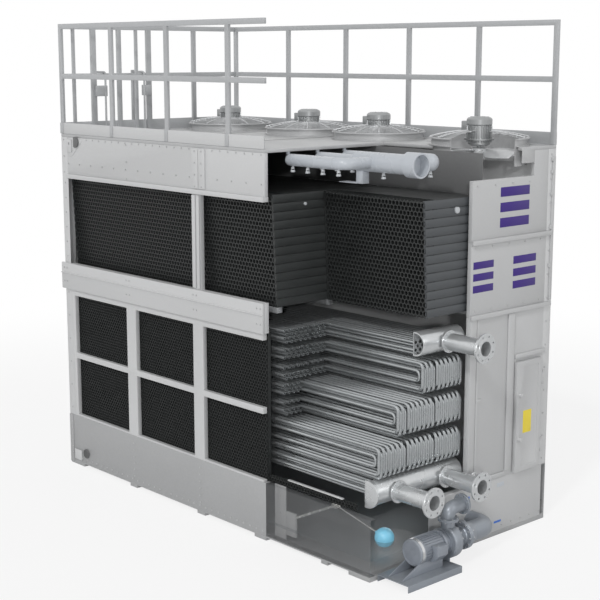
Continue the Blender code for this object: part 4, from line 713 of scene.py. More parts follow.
@dataclass
class Studio:
    """Camera, lamps, background and floor."""

    place: Point = (9.4568, -8.5185, 4.2896)
    tilt_deg: float = 79.478
    heading_deg: float = 47.641
    lens: float = 79.06
    sensor: float = 36.0
    floor_half: float = 60.0
    floor_colour: Point = (0.86, 0.86, 0.86)
    floor_fade: Span = (5.0, 11.0)
    floor_white: Span = (0.80, 1.0)
    sky: float = 0.52
    suns: Tuple[Tuple[str, float, Point, float], ...] = (
        ("key_sun", 0.95, (0.26, -0.72, 0.66), 6.0),
        ("side_sun", 0.22, (0.9, 0.25, 0.5), 25.0),
        ("front_sun", 0.55, (8.4, -8.0, 2.3), 2.0),
    )
    inside_lamps: Tuple[Tuple[Point, float], ...] = (((1.95, 0.75, 2.85), 4.5), ((1.75, -0.30, 0.40), 1.8))
    inside_size: float = 0.2

    def build(self) -> None:
        """Set up everything that is not the object."""
        scene = bpy.context.scene
        scene.view_settings.view_transform = "Standard"
        data = bpy.data.cameras.new("camera")
        data.lens = self.lens
        data.sensor_width = self.sensor
        data.clip_end = 200.0
        camera = Bench.place("camera", data)
        camera.location = self.place
        camera.rotation_euler = (math.radians(self.tilt_deg), 0.0, math.radians(self.heading_deg))
        scene.camera = camera
        self.world(scene)
        for name, strength, source, spread in self.suns:
            data = bpy.data.lights.new(name, "SUN")
            data.energy = strength
            data.angle = math.radians(spread)
            Bench.place(name, data).rotation_euler = Vector(source).to_track_quat("Z", "Y").to_euler()
        for spot, power in self.inside_lamps:
            data = bpy.data.lights.new("inside_lamp", "POINT")
            data.energy = power
            data.shadow_soft_size = self.inside_size
            Bench.place("inside_lamp", data).location = spot
        self.floor()

    def world(self, scene: bpy.types.Scene) -> None:
        """Plain light all round, seen as white by the camera and in reflections."""
        world = bpy.data.worlds.new("studio")
        world.use_nodes = True
        scene.world = world
        wiring = Wiring(world.node_tree)
        rays = wiring.add("ShaderNodeLightPath")
        seen = wiring.sum("MAXIMUM", rays["Is Camera Ray"], wiring.sum("MAXIMUM", rays["Is Glossy Ray"], 0.0))
        seen = wiring.sum("MAXIMUM", rays["Is Transmission Ray"], seen)
        level = wiring.add("ShaderNodeMix", {0: seen, 2: self.sky, 3: 1.0}, data_type="FLOAT")[0]
        wiring.feed(world.node_tree.nodes["Background"], {"Color": (1.0, 1.0, 1.0, 1.0), "Strength": level})

    def floor(self) -> None:
        """A pale floor that fades into the white background."""
        Bench.deselect()
        bpy.ops.mesh.primitive_plane_add(size=2 * self.floor_half, location=(0.0, 0.0, -GAP))
        floor = Bench.settle()
        floor.name = "floor"
        made = bpy.data.materials.new("pale_floor")
        made.use_nodes = True
        nodes = made.node_tree.nodes
        wiring = Wiring(made.node_tree)
        shader = wiring.feed(nodes["Principled BSDF"], {
            "Base Color": (*self.floor_colour, 1.0),
            "Roughness": 0.9,
            "Specular IOR Level": 0.1,
        })
        white = wiring.add("ShaderNodeEmission", {"Strength": 1.0})[0]
        place = wiring.add("ShaderNodeTexCoord")["Object"]
        reach = wiring.add("ShaderNodeVectorMath", {0: place}, operation="LENGTH")["Value"]
        fade = wiring.ramp(reach, self.floor_fade, self.floor_white, interpolation_type="SMOOTHSTEP")
        share = wiring.sum("MULTIPLY", fade, wiring.add("ShaderNodeLightPath")["Is Camera Ray"])
        blend = wiring.add("ShaderNodeMixShader", {0: share, 1: shader.outputs[0], 2: white})[0]
        wiring.feed(nodes["Material Output"], {"Surface": blend})
        floor.data.materials.append(made)


@dataclass
class Honeycomb:
    """A face of open cells: two modelled cells, repeated along and up."""

    cell: float
    row: float
    wall: float
    depth: float

    def build(self, low: Span, high: Span, front: float) -> Thing:
        """Make the face, looking towards -Y.

        Args:
            low: Lowest (x, z) of the face.
            high: Highest (x, z) of the face.
            front: The y of the face.

        Returns:
            The face, trimmed to its border.
        """
        radius = self.cell / math.sqrt(3)
        inwards = {"value": (0.0, self.depth, 0.0)}
        Bench.deselect()
        bpy.ops.mesh.primitive_circle_add(
            vertices=6, radius=radius, fill_type="NGON", rotation=(math.pi / 2, 0.0, 0.0)
        )
        bpy.context.object.scale.y = self.row / (1.5 * radius)
        piece = Bench.edit(Bench.settle(), lambda: bpy.ops.mesh.inset(thickness=self.wall / 2))
        Bench.edit_faces(
            piece, lambda centre, normal: centre.length < radius / 10,
            lambda: bpy.ops.mesh.extrude_region_move(TRANSFORM_OT_translate=inwards),
        )
        across = math.ceil((high[0] - low[0]) / self.cell) + 1
        pairs = math.ceil((high[1] - low[1]) / (2 * self.row)) + 1
        steps = (
            (2, (self.cell / 2, 0.0, self.row)),
            (across, (self.cell, 0.0, 0.0)),
            (pairs, (0.0, 0.0, 2 * self.row)),
        )
        for count, step in steps:
            Bench.apply(
                piece, "ARRAY", count=count, use_relative_offset=False, use_constant_offset=True,
                constant_offset_displace=step,
            )
        piece.data.transform(Matrix.Translation((low[0], front, low[1])))
        for x, side in ((low[0], -1), (high[0], 1)):
            Bench.trim(piece, (x, 0, 0), (side, 0, 0))
        for z, side in ((low[1], -1), (high[1], 1)):
            Bench.trim(piece, (0, 0, z), (0, 0, side))
        return Bench.edit(piece, lambda: bpy.ops.mesh.remove_doubles(threshold=MERGE))


@dataclass
class InletSide:
    """Air inlet side: screens in their frame, belt beam and the frame above it."""

    cells: Honeycomb = field(default_factory=lambda: Honeycomb(0.036, 0.0285, 0.0045, 0.016))
    edge: float = 0.003
    strip_top: float = 0.6003
    strip_x: Span = (0.91, 2.0)
    strip_back: float = 0.019

    def build(self, dresser: Dresser) -> None:
        """Make the inlet side: cells in front of a plain body on each screen."""
        frames = ("inlet_frame", "belt_beam", "upper_frame", "upper_front_panel")
        dresser.skin(frames, Finishes.PANEL, self.edge)
        for number in (1, 2, 3):
            node = f"inlet_screen_{number}"
            low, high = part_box(node)
            right = min(high.x, self.strip_x[0])
            parts = self.face(low, Vector((right, high.y, high.z)))
            if high.x > right:
                start = Vector((right, low.y + self.strip_back, low.z))
                parts += self.face(start, Vector((self.strip_x[1], high.y, self.strip_top)))
            dresser.mount(f"{node}_face", parts, Finishes.SCREEN, node)

    def face(self, low: Vector, high: Vector) -> List[Thing]:
        """Cells between two corners with a body behind them."""
        back = (low.x, low.y + self.cells.depth + GAP, low.z)
        cells = self.cells.build((low.x, low.z), (high.x, high.z), low.y)
        return [cells, Bench.block(back, high, self.edge / 2)]


@dataclass
class FillPack:
    """Wet fill: honeycomb on its air faces and rounded layers at its ends, whose lighter copies of the fill
    film are painted light.
    """

    layers: int = 13
    bulge: float = 0.012
    groove: float = 0.006
    arc_steps: int = 5
    cell: float = 0.0415
    wall: float = 0.009
    depth: float = 0.10
    lean: float = 0.05
    pegs: Tuple[Tuple[Point, float], ...] = (((2.19, -0.105, 3.009), 0.028), ((0.97, -0.72, 3.01), 0.014))
    peg_depth: float = 0.012

    def build(self, dresser: Dresser) -> None:
        """Make both blocks of the fill and the pegs in their ends."""
        # The ends take lighter copies of the fill film, which are painted light
        self.block(dresser, "fill_left", Finishes.FILL_CUT, Finishes.FILL_CUT)
        self.block(dresser, "fill_right", Finishes.FILL, Finishes.FILL_EDGE)
        pegs = [
            Bench.bar((x - self.bulge, y, z), (x + self.peg_depth, y, z), radius, 24, 0.003)
            for (x, y, z), radius in self.pegs
        ]
        dresser.mount("fill_pegs", pegs, Finishes.NOZZLE)

    def block(self, dresser: Dresser, node: str, far: Finishes, near: Finishes) -> None:
        """One block: honeycomb front, a plain body inside, and layered ends."""
        low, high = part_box(node)
        cells = Honeycomb(self.cell, (high.z - low.z) / (2 * self.layers), self.wall, self.depth)
        front = cells.build((low.x + self.bulge / 2, low.z), (high.x - self.bulge / 2, high.z), low.y)
        front.data.transform(self.slope(low, high))
        back = (low.x + self.bulge, low.y + self.depth + self.lean, low.z)
        parts = [
            Finishes.FILL.dress(front),
            Finishes.FILL.dress(Bench.block(back, (high.x - self.bulge, high.y, high.z), 0.0)),
            far.dress(self.end(low, high, -1)),
            near.dress(self.end(low, high, 1)),
        ]
        dresser.mount(f"{node}_pack", parts, None, node)

    def slope(self, low: Vector, high: Vector) -> Matrix:
        """The lean of the air face: its foot stands further in than its top."""
        turn = Matrix.Identity(4)
        share = self.lean / (high.z - low.z)
        turn[1][2] = -share
        turn[1][3] = share * high.z
        return turn

    def end(self, low: Vector, high: Vector, side: int) -> Thing:
        """A layered end: one arc to a layer up the face, drawn out along Y."""
        pitch = (high.z - low.z) / self.layers
        inner = (high.x if side > 0 else low.x) - side * self.bulge
        profile = [(inner - side * self.bulge, low.z)]
        for layer in range(self.layers):
            base = low.z + layer * pitch
            for step in range(self.arc_steps + 1):
                angle = math.pi * (0.10 + 0.80 * step / self.arc_steps)
                out = inner + side * self.bulge * math.sin(angle)
                profile.append((out, base + pitch * (0.5 - 0.49 * math.cos(angle))))
            profile.append((inner - side * self.groove, base + pitch * 0.995))
        profile.append((inner - side * self.bulge, high.z))
        piece = Bench.sheet([(x, low.y, z) for x, z in profile], (0.0, high.y - low.y, 0.0))
        lean = self.slope(low, high)
        for vertex in piece.data.vertices:
            if vertex.co.y < (low.y + high.y) / 2:
                vertex.co = lean @ vertex.co
        return piece


@dataclass
class Coil:
    """Bent tubes of the coil in three banks."""

    radius: float = 0.0135
    bore: float = 0.0105
    sides: int = 10
    columns: int = 36
    group: int = 12
    first_y: float = -0.99
    pitch: float = 0.0278
    group_gap: float = 0.016
    left_x: float = -2.195
    cut_x: float = 1.0
    cut_depth: float = 0.06
    levels: Point = (0.98, 1.30, 1.62)
    cut_columns: Tuple[int, ...] = (0, 8, 18)
    drop: float = 0.03392
    outer: Span = (0.11264, 2.1665)
    inner: Span = (0.04512, 2.13274)
    bend: float = 0.045
    sheet_half: float = 0.006
    sheet_margin: float = 0.03
    sheet_reach: float = 0.15985

    def column_y(self, column: int) -> float:
        """Place of a column of tubes across the tower."""
        return self.first_y + column * self.pitch + self.group_gap * (column // self.group)

    def build(self, dresser: Dresser) -> None:
        """Make the three banks."""
        for bank, level in enumerate(self.levels):
            middle = level - self.drop / 2
            parts = [self.tube_sheet(middle - self.sheet_reach, middle + self.sheet_reach)]
            for lowered in (0, 1):
                whole = []
                cut = []
                for column in range(lowered, self.columns, 2):
                    place = Matrix.Translation((0.0, self.column_y(column), level - lowered * self.drop))
                    (whole if column >= self.cut_columns[bank] else cut).append(place)
                for half, face in (self.outer, self.inner)[: 2 - lowered]:
                    parts.append(Bench.copies(self.loop(half, face), whole))
                    if cut:
                        parts.append(Bench.copies(Bench.join([self.stub(-half), self.stub(half)]), cut))
            node = f"coil_bank_{bank + 1}"
            dresser.mount(f"{node}_tubes", parts, Finishes.TUBE, node, smooth=TUBE_SMOOTH)

    def tube_sheet(self, low: float, high: float) -> Thing:
        """The plate at the far end that carries the tubes."""
        first = self.column_y(0) - self.sheet_margin
        last = self.column_y(self.columns - 1) + self.sheet_margin
        half = self.sheet_half
        return Bench.block((self.left_x - half, first, low), (self.left_x + half, last, high))

    def loop(self, half: float, face: float) -> Thing:
        """One tube that runs out, turns down round two bends and runs back."""
        left = self.left_x
        corners = ((left, 0.0, half), (face, 0.0, half), (face, 0.0, -half), (left, 0.0, -half))
        return Bench.pipe(corners, self.radius, self.sides, min(self.bend, half * 0.96))

    def stub(self, height: float) -> Thing:
        """A tube that was cut off at the cutaway: its open end shows its wall."""
        bottom = self.cut_x - self.cut_depth
        profile = (
            (self.radius, self.left_x), (self.radius, self.cut_x), (self.bore, self.cut_x),
            (self.bore, bottom), (0.0, bottom), (0.0, self.left_x),
        )
        return Bench.turned(profile, (0.0, 0.0, height), ALONG, self.sides)


@dataclass
class Header:
    """A half-round header box with flanged nozzles."""

    node: str
    level: float
    span: Span
    nozzles: Tuple[float, ...]
    rows: Span
    sheet: Span
    open_end: bool = False
    coil: Coil = field(default_factory=Coil)
    plate_x: float = 2.077
    flat: float = 0.021
    radius: float = 0.105
    shell: float = 0.012
    tube_end: float = 2.083
    end_plate_radius: float = 0.118
    end_plate_x: float = 2.066
    end_plate_y: Span = (-1.051, -1.029)
    nozzle_radius: float = 0.075
    nozzle_bore: float = 0.063
    nozzle_start: float = 2.13
    weld: float = 0.010
    collar_radius: float = 0.098
    collar_x: Span = (2.215, 2.229)
    collar_bolt: float = 0.0065
    flange_radius: float = 0.128
    flange_depth: float = 0.022
    flange_x: float = 2.62
    bolt_circle: float = 0.103
    bolt_hole: float = 0.0095

    def build(self, dresser: Dresser) -> None:
        """Make the header, its nozzles and its tubes."""
        parts = [self.box_shell()]
        if not self.open_end:
            low, high = self.end_plate_y
            outline = [(x, low, z) for x, z in self.arc(self.end_plate_radius, self.end_plate_x)]
            parts.append(Bench.sheet(outline, (0.0, high - low, 0.0), 0.002))
        for y in self.nozzles:
            parts += self.nozzle(y)
        dresser.mount(f"{self.node}_shell", parts, Finishes.HEADER, self.node)
        coil = self.coil
        tubes = [coil.tube_sheet(*self.sheet)]
        for height in self.rows:
            whole = []
            cut = []
            for column in range(coil.columns):
                y = coil.column_y(column)
                place = Matrix.Translation((0.0, y, height - (column % 2) * coil.drop))
                (whole if y > self.span[0] + coil.radius else cut).append(place)
            model = Bench.bar((coil.left_x, 0, 0), (self.tube_end, 0, 0), coil.radius, coil.sides)
            tubes.append(Bench.copies(model, whole))
            if cut:
                tubes.append(Bench.copies(coil.stub(0.0), cut))
        dresser.mount(f"{self.node}_tubes", tubes, Finishes.TUBE, smooth=TUBE_SMOOTH)

    def box_shell(self) -> Thing:
        """The half-round box: hollow, so that its cut end shows its wall."""
        start, end = self.span
        outer = self.arc(self.radius, self.plate_x)
        piece = Bench.sheet([(x, start, z) for x, z in outer], (0.0, end - start, 0.0))
        start += -self.shell if self.open_end else self.shell
        inner = self.arc(self.radius - self.shell, self.plate_x + self.shell / 2)
        hollow = Bench.sheet([(x, start, z) for x, z in inner], (0.0, end - self.shell - start, 0.0))
        return Bench.round_edges(Bench.cut(piece, hollow), 0.0015)

    def arc(self, radius: float, plate: float, steps: int = 20) -> List[Span]:
        """The header's section: a flat tube plate and a half-round back."""
        centre = self.plate_x + self.flat
        points = [(plate, self.level - radius), (plate, self.level + radius)]
        for step in range(steps + 1):
            angle = math.pi / 2 - math.pi * step / steps
            points.append((centre + radius * math.cos(angle), self.level + radius * math.sin(angle)))
        return points

    def nozzle(self, y: float) -> List[Thing]:
        """A nozzle pipe with its drilled flange, and its collar with the bolts in it."""
        face = self.flange_x
        back = face - self.flange_depth
        near, far = self.collar_x
        pipe = self.nozzle_radius
        collar = self.collar_radius
        flange = self.flange_radius
        profile = (
            (self.nozzle_bore, self.nozzle_start), (pipe, self.nozzle_start), (pipe, near),
            (collar - 0.002, near), (collar, near + 0.002), (collar, far - 0.002), (collar - 0.002, far),
            (pipe, far), (pipe, back - 0.014), (pipe + self.weld, back), (flange - 0.002, back),
            (flange, back + 0.002), (flange, face - 0.004), (flange - 0.002, face - 0.002),
            (pipe + self.weld + 0.002, face - 0.002), (pipe + self.weld, face), (self.nozzle_bore, face),
        )
        body = Bench.turned(profile, (0.0, y, self.level), ALONG, 40)
        hole = Bench.bar((back - 0.01, 0, 0), (face + 0.01, 0, 0), self.bolt_hole, 12)
        holes = Bench.copies(hole, self.ring_of(y, self.bolt_circle, 8))
        bolt = Bench.bar((near - 0.005, 0, 0), (far + 0.005, 0, 0), self.collar_bolt, 6)
        return [Bench.cut(body, holes), Bench.copies(bolt, self.ring_of(y, collar - 0.011, 10))]

    def ring_of(self, y: float, radius: float, count: int) -> List[Matrix]:
        """Places on a circle round a nozzle's axis."""
        places = []
        for index in range(count):
            angle = math.tau * (index + 0.5) / count
            across = y + radius * math.cos(angle)
            places.append(Matrix.Translation((0.0, across, self.level + radius * math.sin(angle))))
        return places


@dataclass
class Fan:
    """One fan: its ring, its motor with the wire guard, and its rotor."""

    number: int
    centre_x: float
    centre_y: float = 0.68
    inner: float = 0.42
    outer: float = 0.428
    flange: float = 0.452
    low: float = 3.33
    deck_top: float = 3.50
    top: float = 3.57
    lip: float = 0.008
    hub_radius: float = 0.065
    hub_low: float = 3.38
    hub_high: float = 3.475
    shaft: float = 0.02
    blades: int = 6
    blade_tip: float = 0.40
    blade_root: float = 0.05
    chords: Point = (0.11, 0.17, 0.16)
    pitches_deg: Point = (32.0, 24.0, 17.0)
    blade_thickness: float = 0.0056
    camber: float = 0.05
    cut: Span = (1.79, 0.66)
    motor_radius: float = 0.115
    motor_low: float = 3.495
    motor_high: float = 3.75
    fins: int = 28
    fin_depth: float = 0.014
    slots: int = 16
    box_z: float = 3.62
    guard_rise: float = 3.622
    guard_rim: float = 0.440
    guard_inner: float = 0.10
    guard_rings: int = 11
    guard_wire: float = 0.0032
    guard_ribs: int = 12
    guard_rib: float = 0.005
    cut_number: int = 4

    def build(self, dresser: Dresser) -> None:
        """Make the ring, the guard, the motor and the rotor."""
        name = f"fan_{self.number}"
        dresser.mount(f"{name}_ring", self.ring(), Finishes.DECK, f"fan_ring_{self.number}")
        dresser.mount(f"{name}_guard", self.guard(), Finishes.BLADE)
        dresser.mount(f"{name}_motor", self.motor(), Finishes.FAN_MOTOR, f"fan_motor_{self.number}")
        rotor = f"rotor_{self.number}"
        dresser.mount(f"{name}_rotor", self.rotor(), Finishes.BLADE, f"fan_{rotor}", rotor)

    def centre(self, height: float = 0.0) -> Point:
        """A point on the fan's axis."""
        return (self.centre_x, self.centre_y, height)

    def ring(self) -> Thing:
        """The ring: a rolled sheet with a flange on the deck and a rolled rim."""
        foot = self.deck_top + GAP
        sheet = self.outer
        flange = self.flange
        under = self.top - self.lip
        over = foot + self.lip
        profile = (
            (sheet, self.low), (self.inner, self.low), (self.inner, self.top), (flange - 0.003, self.top),
            (flange, self.top - 0.002), (flange, under), (sheet + 0.003, under), (sheet, under - 0.003),
            (sheet, over + 0.003), (sheet + 0.003, over), (flange, over), (flange, foot), (sheet, foot),
        )
        ring = Bench.turned(profile, self.centre(), UPWARD, 64)
        if self.number == self.cut_number:
            x, y = self.cut
            Bench.cut(ring, Bench.block((x, y - 0.6, self.low - 0.1), (x + 0.60, y, self.top + 0.1), 0.0))
        return ring

    def guard(self) -> Thing:
        """The wire guard: rings that rise to the motor, carried by ribs."""
        seat = self.top + GAP + self.guard_wire
        reach = self.guard_rim - self.guard_inner
        parts = []
        for ring in range(self.guard_rings):
            share = ring / (self.guard_rings - 1)
            Bench.deselect()
            bpy.ops.mesh.primitive_torus_add(
                major_radius=self.guard_rim - share * reach, minor_radius=self.guard_wire, major_segments=48,
                minor_segments=6, location=self.centre(seat + self.rise(share)),
            )
            parts.append(Bench.settle())
        rib_points = []
        for step in range(7):
            share = step / 6
            height = seat + self.guard_wire * 1.6 + self.rise(share)
            rib_points.append((self.guard_rim - share * (reach + 0.01), 0.0, height))
        rib = Bench.pipe(rib_points, self.guard_rib, 8)
        guard = Bench.join([*parts, Bench.around(rib, self.guard_ribs, self.centre(), first=0.5)])
        if self.number == self.cut_number:
            x, y = self.cut
            Bench.edit_faces(
                guard, lambda centre, normal: centre.x > x and centre.y < y,
                lambda: bpy.ops.mesh.delete(type="FACE"),
            )
        return guard

    def rise(self, share: float) -> float:
        """Height of the guard over the ring's rim, from rim (0) to motor (1)."""
        return (self.guard_rise - self.top) * (1 - (1 - share) ** 1.6)

    def motor(self) -> List[Thing]:
        """The motor: ribbed barrel, end shields, cowl, terminal box and shaft."""
        cowl = self.motor_radius
        barrel = cowl - self.fin_depth
        low = self.motor_low
        high = self.motor_high
        foot = self.hub_high + GAP
        profile = (
            (0.0, foot), (self.shaft, foot), (self.shaft, low), (barrel - 0.02, low), (barrel, low + 0.012),
            (barrel, high - 0.075), (cowl - 0.004, high - 0.072), (cowl, high - 0.066), (cowl, high - 0.022),
            (cowl - 0.012, high - 0.008), (cowl - 0.035, high), (0.0, high),
        )
        rim = cowl + 0.02
        flange = ((barrel, low + 0.05), (rim, low + 0.05), (rim, low + 0.064), (barrel, low + 0.064))
        fin = Bench.block((barrel - 0.004, -0.002, low + 0.03), (cowl, 0.002, high - 0.076), 0.0012)
        slot = Bench.block((0.03, -0.0022, high - 0.002), (0.085, 0.0022, high + 0.0012), 0.0005)
        corner = Vector(self.centre(self.box_z)) + Vector((-cowl - 0.05, -0.0575, 0.0))

        def beside(x: float, y: float, z: float) -> Vector:
            """A point counted from the terminal box's corner."""
            return corner + Vector((x, y, z))

        return [
            Bench.turned(profile, self.centre(), UPWARD, 40),
            Bench.around(fin, self.fins, self.centre()),
            Bench.turned(flange, self.centre(), UPWARD, 40),
            Bench.block(corner, beside(0.11, 0.12, 0.09), 0.006),
            Bench.block(beside(-0.004, 0.006, 0.006), beside(0.02, 0.114, 0.084), 0.003),
            Bench.bar(beside(0.05, 0.03, -0.03), beside(0.05, 0.03, 0.01), 0.013, 12, 0.002),
            Bench.around(slot, self.slots, self.centre()),
        ]

    def rotor(self) -> List[Thing]:
        """The rotor: a hub and twisted blades."""
        low = self.hub_low
        high = self.hub_high
        radius = self.hub_radius
        profile = (
            (0.0, low), (radius - 0.012, low), (radius, low + 0.012), (radius, high - 0.012),
            (radius - 0.012, high), (0.035, high), (0.035, high - 0.004), (0.0, high - 0.004),
        )
        hub = Bench.turned(profile, self.centre(), UPWARD, 40)
        return [hub, Bench.around(self.blade(), self.blades, self.centre((low + high) / 2))]

    def blade(self) -> Thing:
        """One blade along +X: a grid that narrows, twists and cambers, given its thickness."""
        Bench.deselect()
        bpy.ops.mesh.primitive_grid_add(x_subdivisions=10, y_subdivisions=6, size=1.0)
        piece = bpy.context.object
        for vertex in piece.data.vertices:
            along = vertex.co.x + 0.5
            across = vertex.co.y * 2
            chord = self.between(self.chords, along)
            pitch = math.radians(self.between(self.pitches_deg, along))
            camber = self.camber * chord * (1 - across * across)
            y = across * chord / 2
            vertex.co = (
                self.blade_root + along * (self.blade_tip - self.blade_root),
                y * math.cos(pitch) - camber * math.sin(pitch),
                y * math.sin(pitch) + camber * math.cos(pitch),
            )
        Bench.apply(piece, "SOLIDIFY", thickness=self.blade_thickness, offset=0.0, use_rim=True)
        return Bench.round_edges(piece, 0.0015)

    @staticmethod
    def between(values: Point, along: float) -> float:
        """A value at a share of the way from the first through the middle to the last."""
        first, middle, last = values
        if along < 0.5:
            return first + (middle - first) * 2 * along
        return middle + (last - middle) * (2 * along - 1)


@dataclass
class Deck:
    """Fan deck with its joint strips, and the guard rails round it with their toe boards."""

    edge: float = 0.003
    strip_x: Point = (-1.125, 0.0, 1.125)
    strip_start: float = 0.70
    strip_half: float = 0.025
    strip_height: float = 0.006
    cover_depth: float = 0.003
    cover_height: float = 0.112
    post_width: float = 0.05
    bays: int = 5
    feet: int = 4
    foot_depth: float = 0.006

    def build(self, dresser: Dresser) -> None:
        """Make the deck and the rails."""
        dresser.skin(("fan_deck",), Finishes.DECK, self.edge)
        dresser.skin(("railing_front", "railing_back", "railing_left"), Finishes.RAIL, self.edge)
        low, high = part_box("fan_deck")
        half = self.strip_half
        strips = []
        for x in self.strip_x:
            start = self.strip_start if x > 0.9 else low.y + 0.05
            top = (x + half, high.y - 0.05, high.z + self.strip_height)
            strips.append(Bench.block((x - half, start, high.z + GAP), top))
        dresser.mount("deck_joint_strips", strips, Finishes.DECK)
        self.toe_boards(dresser, high.z)

    def toe_boards(self, dresser: Dresser, deck_top: float) -> None:
        """Bright cover sheets over the rails' toe boards, and the post feet in front of the first."""
        cut_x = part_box("upper_front_panel")[1].x
        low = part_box("railing_front")[0]
        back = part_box("railing_back")[1]
        left = low.x - self.cover_depth
        face = low.y - self.cover_depth
        bottom = deck_top + self.edge
        top = deck_top + self.cover_height
        covers = (
            ((left, face, bottom), (cut_x, low.y - GAP, top)),
            ((left, back.y + GAP, bottom), (back.x, back.y + self.cover_depth, top)),
            ((left, low.y - GAP, bottom), (low.x - GAP, back.y + GAP, top)),
        )
        sheets = [Bench.block(start, end, 0.001) for start, end in covers]
        dresser.mount("toe_board_covers", sheets, Finishes.PANEL)
        pitch = (back.x - low.x - self.post_width) / self.bays
        feet = []
        for index in range(self.feet):
            x = low.x + index * pitch
            feet.append(Bench.block((x, face - self.foot_depth, bottom), (x + self.post_width, face, top)))
        dresser.mount("rail_post_feet", feet, Finishes.RAIL)


@dataclass
class Ladder:
    """Access ladder up the far end with its handles and clamps."""

    y: Span = (-0.64, -0.145)
    x: float = -2.405
    low: float = 0.35
    top: float = 4.135
    pipe: float = 0.02
    handle_radius: float = 0.011
    handle_z: Span = (3.5003, 4.1166)
    handle_x: float = -2.193
    clamp_x: Span = (-2.2147, -2.1875)
    clamp_y: Tuple[Span, ...] = ((-0.76, -0.618), (-0.167, -0.06))
    clamp_z: Span = (3.87, 3.98)
    rung: float = 0.012
    rung_low: float = 0.45
    rung_pitch: float = 0.30
    count: int = 10
    wall_x: float = -2.245
    foot_half: float = 0.025
    foot_z: Span = (0.9, 3.3)

    def build(self, dresser: Dresser) -> None:
        """Make the stiles, handles, clamps, rungs and wall feet."""
        parts = []
        low, high = self.handle_z
        near, far = self.clamp_x
        half = self.foot_half
        wide = half * 1.4
        for y, (start, end) in zip(self.y, self.clamp_y):
            parts.append(Bench.bar((self.x, y, self.low), (self.x, y, self.top), self.pipe, 16, 0.003))
            corners = ((self.x, y, high), (self.handle_x, y, high), (self.handle_x, y, low))
            parts.append(Bench.pipe(corners, self.handle_radius, 12, 0.03))
            parts.append(Bench.block((near, start, self.clamp_z[0]), (far, end, self.clamp_z[1]), 0.003))
            for z in self.foot_z:
                reach = (self.wall_x - 0.006, y + half, z + half)
                parts.append(Bench.block((self.x, y - half, z - half), reach, 0.003))
                reach = (self.wall_x - GAP, y + wide, z + wide)
                parts.append(Bench.block((self.wall_x - 0.007, y - wide, z - wide), reach))
        for index in range(self.count):
            z = self.rung_low + index * self.rung_pitch
            parts.append(Bench.bar((self.x, self.y[0], z), (self.x, self.y[1], z), self.rung, 12))
        dresser.mount("ladder_pipes", parts, Finishes.RAIL, "ladder")


